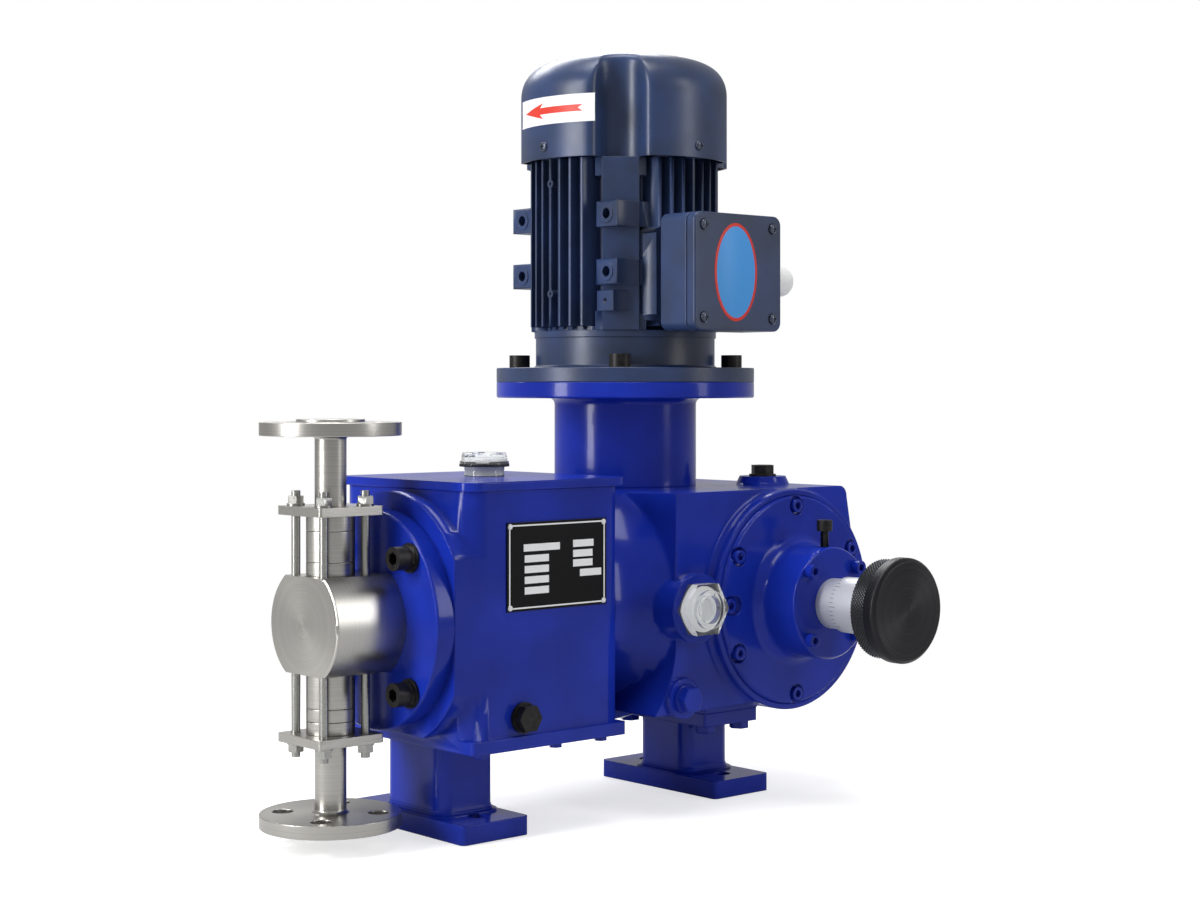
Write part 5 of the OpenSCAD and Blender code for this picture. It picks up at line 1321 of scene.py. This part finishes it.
@dataclass
class DriveMotor(SubAssembly):
    """The finned motor with its fan cowl, terminal box, cable entry and labels."""

    box_edge_mm: float = 0.8
    lid_edge_mm: float = 1.6
    # The cowl: its wall, its dome, the radius and drop of its crown's rings, and its flutes
    cowl_r_mm: float = 82.5
    cowl_h_mm: float = 82.0
    cowl_wall_mm: float = 2.0
    wall_rings_mm: tuple[float, ...] = (0.0, 1.0, 12.0, 24.0, 36.0)
    dome_w_mm: float = 34.0
    dome_h_mm: float = 30.0
    dome_drop_mm: float = 2.0
    crown_mm: Profile = ((40.0, 1.4), (6.0, 0.4))
    flute_at_mm: float = 80.0
    flute_r_mm: float = 18.0
    flute_edge_mm: float = 8.0
    flute_flare: float = 2.5
    # The grille: inner radius of each ring of slots, and half the width of the spokes
    grille_rings_mm: tuple[float, ...] = (10.0, 18.0, 26.0, 34.0)
    slot_w_mm: float = 4.0
    slot_below_mm: float = 14.0
    slot_deep_mm: float = 18.0
    slot_steps: int = 6
    spoke_half_mm: float = 2.5
    spokes: int = 6
    spoke_deg: float = 15.0
    # Screws and the cable entry's cap
    screw_h_mm: float = 2.4
    box_screw_r_mm: float = 3.6
    box_washer_r_mm: float = 4.4
    box_screw_inset_mm: float = 9.5
    cowl_screw_r_mm: float = 3.8
    cowl_screw_z_mm: float = 9.0
    cowl_screw_sunk_mm: float = 0.3
    cap_r_mm: float = 11.4
    cap_dome_mm: float = 9.0
    cap_seat_mm: float = 15.0
    cap_at_mm: float = 12.0
    cap_skirt_mm: Profile = ((11.4, 4), (10.8, 3.4), (12.2, 2.8), (12.2, 0), (0, 0))
    # The badge's half widths, half heights and heights, and the label
    badge_left_mm: float = 3.0
    badge_rim_mm: Triple = (22.0, 36.0, 0.25)
    badge_field_mm: Triple = (19.8, 33.6, 0.4)
    label_deg: tuple[float, float] = (156, 212)
    label_z_mm: tuple[float, float] = (25.5, 46.3)
    label_proud_mm: float = 0.12
    label_sunk_mm: float = 0.05
    label_steps: int = 40
    # The arrow: tip, neck and tail as shares of the label's length, and its half widths
    arrow_at: Triple = (0.1, 0.42, 0.88)
    arrow_shaft_mm: float = 2.5
    arrow_barb_mm: float = 6.0
    arrow_notch_deg: float = 2.8
    arrow_proud_mm: float = 0.2

    def build(self) -> None:
        """Dresses the motor and adds its screws, labels and cap."""
        for node in ("motor_frame", "motor_end_shield", "cable_gland", "motor_flange_bolts"):
            self.shop.refine(node)
        self.press_cowl()
        self.shop.refine("terminal_box", width_mm=self.box_edge_mm)
        self.shop.refine("terminal_box_lid", width_mm=self.lid_edge_mm, segments=4)
        screw = self.kit.cross_screw(self.box_screw_r_mm * MM, self.screw_h_mm * MM,
                                     self.box_washer_r_mm * MM)
        self.pin_corners("terminal_box_screws", "terminal_box_lid", screw,
                         self.box_screw_inset_mm, Slot.BLACK_OXIDE, DARK_ZINC)
        self.add_cowl_screws()
        self.add_oval()
        self.add_arrow_label()
        self.add_gland_cap()

    def cowl_profile(self, inset: float) -> Profile:
        """Lists the plain shell's profile up one side of the cowl.

        Args:
            inset: how far inside the outer skin it lies, in millimetres.

        Returns:
            Radius and height of each ring in millimetres.
        """
        shoulder = self.cowl_h_mm - self.dome_h_mm - self.dome_drop_mm
        wall = [(self.cowl_r_mm - inset, z) for z in (*self.wall_rings_mm, shoulder)]
        turns = [math.radians(a) for a in range(6, 91, 6)]
        bend = [(self.cowl_r_mm - self.dome_w_mm + (self.dome_w_mm - inset) * math.cos(a),
                 shoulder + (self.dome_h_mm - inset) * math.sin(a)) for a in turns]
        return [*wall, *bend, *((r, self.cowl_h_mm - sunk - inset) for r, sunk in self.crown_mm)]

    def cowl_reach(self, radius: float, off: float, inset: float) -> float:
        """Pulls a radius in where a flute runs, with a soft edge on both sides of the flute.

        Args:
            radius: radius of the plain shell in millimetres.
            off: angle from the middle of the nearest flute, in radians.
            inset: how far inside the outer skin the surface lies.

        Returns:
            The radius of the fluted shell in millimetres.
        """
        side, ahead = abs(self.flute_at_mm * math.sin(off)), self.flute_at_mm * math.cos(off)
        hollow, edge = self.flute_r_mm, self.flute_edge_mm
        if side < hollow:
            flute = ahead - math.sqrt(hollow * hollow - side * side) - inset
        else:
            flute = ahead + self.flute_flare * (side - hollow) - inset
        blend = max(edge - abs(radius - flute), 0.0) / edge
        return min(radius, flute) - blend * blend * edge / 4

    def press_cowl(self) -> None:
        """Makes the pressed cowl with its soft flutes and the slots of its air grille."""
        # Degrees from the middle of a flute, in finer steps across the flute itself
        offs = [*range(-45, -20, 5), *range(-20, 21), *range(25, 45, 5)]
        turns = [(math.radians(45 + 90 * quarter + off), math.radians(off))
                 for quarter in range(4) for off in offs]
        bm = bmesh.new()
        shells = []
        for inset in (0.0, self.cowl_wall_mm):
            rings = []
            for radius, z in self.cowl_profile(inset):
                reach = [self.cowl_reach(radius, off, inset) * MM for _, off in turns]
                rings.append([bm.verts.new((r * math.cos(a), r * math.sin(a), z * MM))
                              for r, (a, _) in zip(reach, turns)])
            shells.append(rings)
        for rings in shells:
            span(bm, rings)
            bm.faces.new(rings[-1])
        span(bm, (shells[0][0], shells[1][0]))
        cowl = from_bmesh("fan_cowl_pressing", bm)
        cut(cowl, *(self.grille_slots(radius) for radius in self.grille_rings_mm))
        low, _, centre = ends("fan_cowl")
        put(cowl, Matrix.Translation((centre.x, centre.y, low.z)))
        weigh(shade(cowl, sharp_deg=36))
        self.shop.mount(cowl, self.shop.body_of["fan_cowl"], Slot.MOTOR_PAINT)
        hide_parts("fan_cowl")

    def grille_slots(self, radius: float) -> bpy.types.Object:
        """Makes the cutter for one ring of curved slots of the air grille.

        Args:
            radius: inner radius of the slots in millimetres.

        Returns:
            The cutter, in the cowl's own place.
        """
        step = 2 * math.pi / self.spokes
        first = math.asin(self.spoke_half_mm / radius)
        last = step - first
        arc = [first + (last - first) * i / self.slot_steps for i in range(self.slot_steps + 1)]
        outline = [(radius, a) for a in arc] + [(radius + self.slot_w_mm, a) for a in reversed(arc)]
        bm = bmesh.new()
        floor = (self.cowl_h_mm - self.slot_below_mm) * MM
        face = bm.faces.new([bm.verts.new((r * math.cos(a) * MM, r * math.sin(a) * MM, floor))
                             for r, a in outline])
        tall = bmesh.ops.extrude_face_region(bm, geom=[face])
        bmesh.ops.translate(bm, vec=(0, 0, self.slot_deep_mm * MM),
                            verts=[v for v in tall["geom"] if isinstance(v, bmesh.types.BMVert)])
        return self.kit.ring.grow(
            "grille_ring", from_bmesh("grille_sector", bm),
            self.shop.material(SLOT_FINISHES[Slot.MOTOR_PAINT]), Matrix.Identity(4),
            Count=self.spokes, Radius=0.0, First_Angle=math.radians(self.spoke_deg),
            Step_Angle=step)

    def add_cowl_screws(self) -> None:
        """Adds the four screws that hold the cowl."""
        low, high, centre = ends("fan_cowl")
        screw = self.kit.cross_screw(self.cowl_screw_r_mm * MM, self.screw_h_mm * MM)
        put(screw, Matrix.Rotation(math.pi / 2, 4, "Y"))
        place = Matrix.Translation((centre.x, centre.y, low.z + self.cowl_screw_z_mm * MM))
        screws = self.kit.ring.grow(
            "cowl_screws", screw, self.shop.material(DARK_ZINC), place, Count=4,
            Radius=(high.x - low.x) / 2 - self.cowl_screw_sunk_mm * MM, First_Angle=0.0,
            Step_Angle=math.pi / 2)
        self.shop.mount(screws, "casing", Slot.BLACK_OXIDE, DARK_ZINC)

    def add_oval(self) -> None:
        """Adds the plain oval badge of the terminal box: a red rim round a light blue field."""
        low, _, centre = ends("terminal_box_lid")
        place = facing((centre.x - self.badge_left_mm * MM, low.y, centre.z), FRONT)
        for name, sizes, ink in (("badge_rim", self.badge_rim_mm, RED_INK),
                                 ("badge_field", self.badge_field_mm, SKY_BLUE_INK)):
            wide, tall, lift = (size * MM for size in sizes)
            disc = lathe(name, [(0.0, lift), (0.985, lift), (1.0, 0.6 * lift), (1.0, 0.0),
                                (0.0, 0.0)], steps=72)
            put(disc, place @ Matrix.Diagonal((wide, tall, 1.0, 1.0)))
            self.shop.mount(disc, "casing", Slot.MOTOR_PAINT, ink)

    def add_arrow_label(self) -> None:
        """Adds the white label with a plain red arrow for the direction of rotation."""
        foot = ends("fan_cowl")[0].z
        start, end = (math.radians(a) for a in self.label_deg)
        z0, z1 = (foot + z * MM for z in self.label_z_mm)
        self.wrap("rotation_label", [(start, z0), (end, z0), (end, z1), (start, z1)],
                  self.label_proud_mm, WHITE_VINYL)
        tip, neck, tail = (start + (end - start) * share for share in self.arrow_at)
        mid, notch = (z0 + z1) / 2, math.radians(self.arrow_notch_deg)
        shaft, barb = self.arrow_shaft_mm * MM, self.arrow_barb_mm * MM
        self.wrap("rotation_arrow", [
            (tip, mid), (neck, mid - barb), (neck - notch, mid - shaft), (tail, mid - shaft),
            (tail - notch, mid), (tail, mid + shaft), (neck - notch, mid + shaft),
            (neck, mid + barb)], self.arrow_proud_mm, RED_VINYL)

    def wrap(self, name: str, outline: Profile, proud_mm: float, vinyl: Finish) -> None:
        """Wraps a flat outline round the cowl as a stuck-on sheet, and mounts it.

        Args:
            name: the piece's name.
            outline: angle about the motor's axis and height of each corner.
            proud_mm: how far the sheet stands off the cowl.
            vinyl: its finish.
        """
        low, high, centre = ends("fan_cowl")
        radius = (high.x - low.x) / 2
        start, end = (math.radians(a) for a in self.label_deg)
        bm = bmesh.new()
        bm.faces.new([bm.verts.new((angle, z, 0.0)) for angle, z in outline])
        for step in range(1, self.label_steps):
            angle = start + (end - start) * step / self.label_steps
            bmesh.ops.bisect_plane(bm, geom=[*bm.verts, *bm.edges, *bm.faces],
                                   plane_co=(angle, 0, 0), plane_no=(1, 0, 0))
        top = bmesh.ops.extrude_face_region(bm, geom=list(bm.faces))
        outer = {v for v in top["geom"] if isinstance(v, bmesh.types.BMVert)}
        for vert in bm.verts:
            angle, z, _ = vert.co
            reach = radius + (proud_mm if vert in outer else -self.label_sunk_mm) * MM
            vert.co = centre.x + reach * math.cos(angle), centre.y + reach * math.sin(angle), z
        self.shop.mount(shade(from_bmesh(name, bm)), "casing", Slot.MOTOR_PAINT, vinyl)

    def add_gland_cap(self) -> None:
        """Adds the white cap on the blank cable entry."""
        low, _, centre = ends("cable_gland")
        top = dome(self.cap_r_mm, self.cap_dome_mm, steps=8, seat=self.cap_seat_mm)
        cap = lathe("gland_cap", in_mm([*top, *self.cap_skirt_mm]), steps=48)
        seat = (low.x + self.cap_at_mm * MM, centre.y, centre.z)
        put(cap, facing(seat, Vector((1, 0, 0))))
        self.shop.mount(cap, "casing", Slot.WHITE_PLASTIC, WHITE_NYLON)


@dataclass
class HiddenDrive(SubAssembly):
    """The worm drive, stroke shaft, crosshead, valves and motor core inside the castings."""

    nodes: tuple[str, ...] = (
        "wheel_bearings", "wheel_spindle", "n_shaft", "eccentric_disc", "adjusting_screw",
        "worm_shaft", "worm_bearings", "motor_bearings", "rotor", "crosshead_pin", "plunger",
        "discharge_ball", "suction_ball", "crosshead", "connecting_rod", "shaft_coupling",
        "worm_wheel", "thrust_block", "packing_gland", "packing_rings", "stator", "cooling_fan")

    def build(self) -> None:
        """Gives each inner node its own metal."""
        for node in self.nodes:
            self.shop.coat(node)


# ---------------------------------------------------------------- studio


@dataclass(frozen=True)
class SoftBox:
    """A rectangular lamp that looks at the object.

    offset is its place in metres from the aim: along the view, to the right of it and up.
    size is its width and height in metres, and power its light in watts.
    """

    name: str
    offset: Triple
    size: tuple[float, float]
    power: float


@dataclass
class Studio:
    """Camera, lamps, world and floor."""

    place: Triple = (-0.9932, -1.1573, 0.307)
    heading_deg: float = 48.48
    lens_mm: float = 62.1
    sensor_mm: float = 36.0
    horizon_shift: float = -0.0532
    aim: Triple = (0.0, 0.0, 0.28)
    # How bright glossy rays see the white backdrop, and how strongly it lights the object
    mirror_share: float = 0.28
    fill: float = 0.28
    lamps: tuple[SoftBox, ...] = (
        SoftBox("left_box", (-0.9, -1.5, 0.5), (0.4, 1.4), 31),
        SoftBox("right_box", (-0.5, 1.6, 0.6), (0.3, 1.3), 8),
        SoftBox("top_box", (-0.15, -0.1, 1.7), (1.2, 0.9), 24),
        SoftBox("rim_box", (1.3, -0.4, 1.2), (1.3, 0.5), 16))
    floor_half: float = 6.0
    floor_drop_mm: float = 0.5
    floor_glow: float = 0.66
    # Distances from the object between which the floor fades to white
    fade: tuple[float, float] = (0.3, 0.75)

    def build(self) -> None:
        """Sets the camera, lights the object and lays the floor."""
        self.add_camera()
        self.add_world()
        for lamp in self.lamps:
            self.add_lamp(lamp)
        self.add_floor()
        bpy.context.scene.view_settings.view_transform = "Standard"

    def add_camera(self) -> None:
        """Sets the camera where the photograph was taken from."""
        camera = bpy.data.objects.new("camera", bpy.data.cameras.new("camera"))
        bpy.context.scene.collection.objects.link(camera)
        camera.location = self.place
        camera.rotation_euler = (math.pi / 2, 0, math.radians(self.heading_deg - 90))
        camera.data.lens, camera.data.sensor_width = self.lens_mm, self.sensor_mm
        camera.data.shift_y = self.horizon_shift
        camera.data.clip_start, camera.data.clip_end = 0.05, 50
        bpy.context.scene.camera = camera

    def seen_directly(self, work: NodeWork) -> Socket:
        """Adds a value that is 1 for camera and transmission rays, less for glossy rays.

        Args:
            work: the world or the material that it goes into.

        Returns:
            The value.
        """
        path = add_node(work.tree, "ShaderNodeLightPath").outputs
        glossy = work.add(MATH, {"operation": "MULTIPLY", 1: self.mirror_share},
                          {0: path["Is Glossy Ray"]})
        first = work.add(MATH, {"operation": "MAXIMUM"}, {0: path["Is Camera Ray"], 1: glossy})
        return work.add(MATH, {"operation": "MAXIMUM"}, {
            0: first, 1: path["Is Transmission Ray"]})

    def add_world(self) -> None:
        """Makes a white backdrop that lights the object only a little."""
        world = bpy.data.worlds.new("studio")
        bpy.context.scene.world = world
        work = NodeWork(world)
        fill, shown = (work.add("ShaderNodeBackground", {"Color": WHITE, "Strength": strength})
                       for strength in (self.fill, 1.0))
        mix = work.add("ShaderNodeMixShader", links={
            0: self.seen_directly(work), 1: fill, 2: shown})
        add_node(work.tree, "ShaderNodeOutputWorld", links={"Surface": mix})

    def add_lamp(self, box: SoftBox) -> None:
        """Adds a soft box.

        Args:
            box: its name, place, size and power.
        """
        heading = math.radians(self.heading_deg)
        ahead = Vector((math.cos(heading), math.sin(heading), 0))
        right = Vector((math.sin(heading), -math.cos(heading), 0))
        along, across, up = box.offset
        data = bpy.data.lights.new(box.name, "AREA")
        data.shape, data.energy = "RECTANGLE", box.power
        data.size, data.size_y = box.size
        lamp = bpy.data.objects.new(box.name, data)
        bpy.context.scene.collection.objects.link(lamp)
        aim = Vector(self.aim)
        lamp.location = aim + ahead * along + right * across + Vector((0, 0, up))
        lamp.rotation_mode = "QUATERNION"
        lamp.rotation_quaternion = (aim - lamp.location).to_track_quat("-Z", "Y")

    def add_floor(self) -> None:
        """Lays a pale floor that stays white and keeps a soft shadow."""
        bm = bmesh.new()
        bmesh.ops.create_grid(bm, x_segments=1, y_segments=1, size=self.floor_half)
        floor = from_bmesh("studio_floor", bm)
        put(floor, Matrix.Translation((0, 0, -self.floor_drop_mm * MM)))
        material = bpy.data.materials.new("floor_paper")
        work = NodeWork(material)
        paper = work.add("ShaderNodeBsdfDiffuse", {"Color": linear("#c9c9c9")})
        glow, white = (work.add("ShaderNodeEmission", {"Color": WHITE, "Strength": strength})
                       for strength in (self.floor_glow, 1.0))
        near = work.add("ShaderNodeAddShader", links={0: paper, 1: glow})
        place = work.add("ShaderNodeTexCoord", output="Object")
        reach = work.add("ShaderNodeVectorMath", {"operation": "LENGTH"}, {0: place}, "Value")
        fade = work.add("ShaderNodeMapRange", {
            "interpolation_type": "SMOOTHSTEP", "From Min": self.fade[0],
            "From Max": self.fade[1]}, {"Value": reach})
        shown = work.add("ShaderNodeMixShader", links={0: fade, 1: near, 2: white})
        mix = work.add("ShaderNodeMixShader", links={
            0: self.seen_directly(work), 1: paper, 2: shown})
        add_node(work.tree, "ShaderNodeOutputMaterial", links={"Surface": mix})
        floor.data.materials.append(material)


def main() -> None:
    """Builds the studio and every sub-assembly."""
    logging.basicConfig(level=logging.INFO, format="%(name)s: %(message)s")
    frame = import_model()
    Studio().build()
    shop, kit = Workshop(frame), Templates()
    for group in (CrossheadCase, Gearbox, StrokeControl, LiquidEnd, DriveMotor, HiddenDrive):
        LOG.info("sub-assembly %s", group.__name__)
        group(shop, kit).build()


if __name__ == "__main__":
    main()
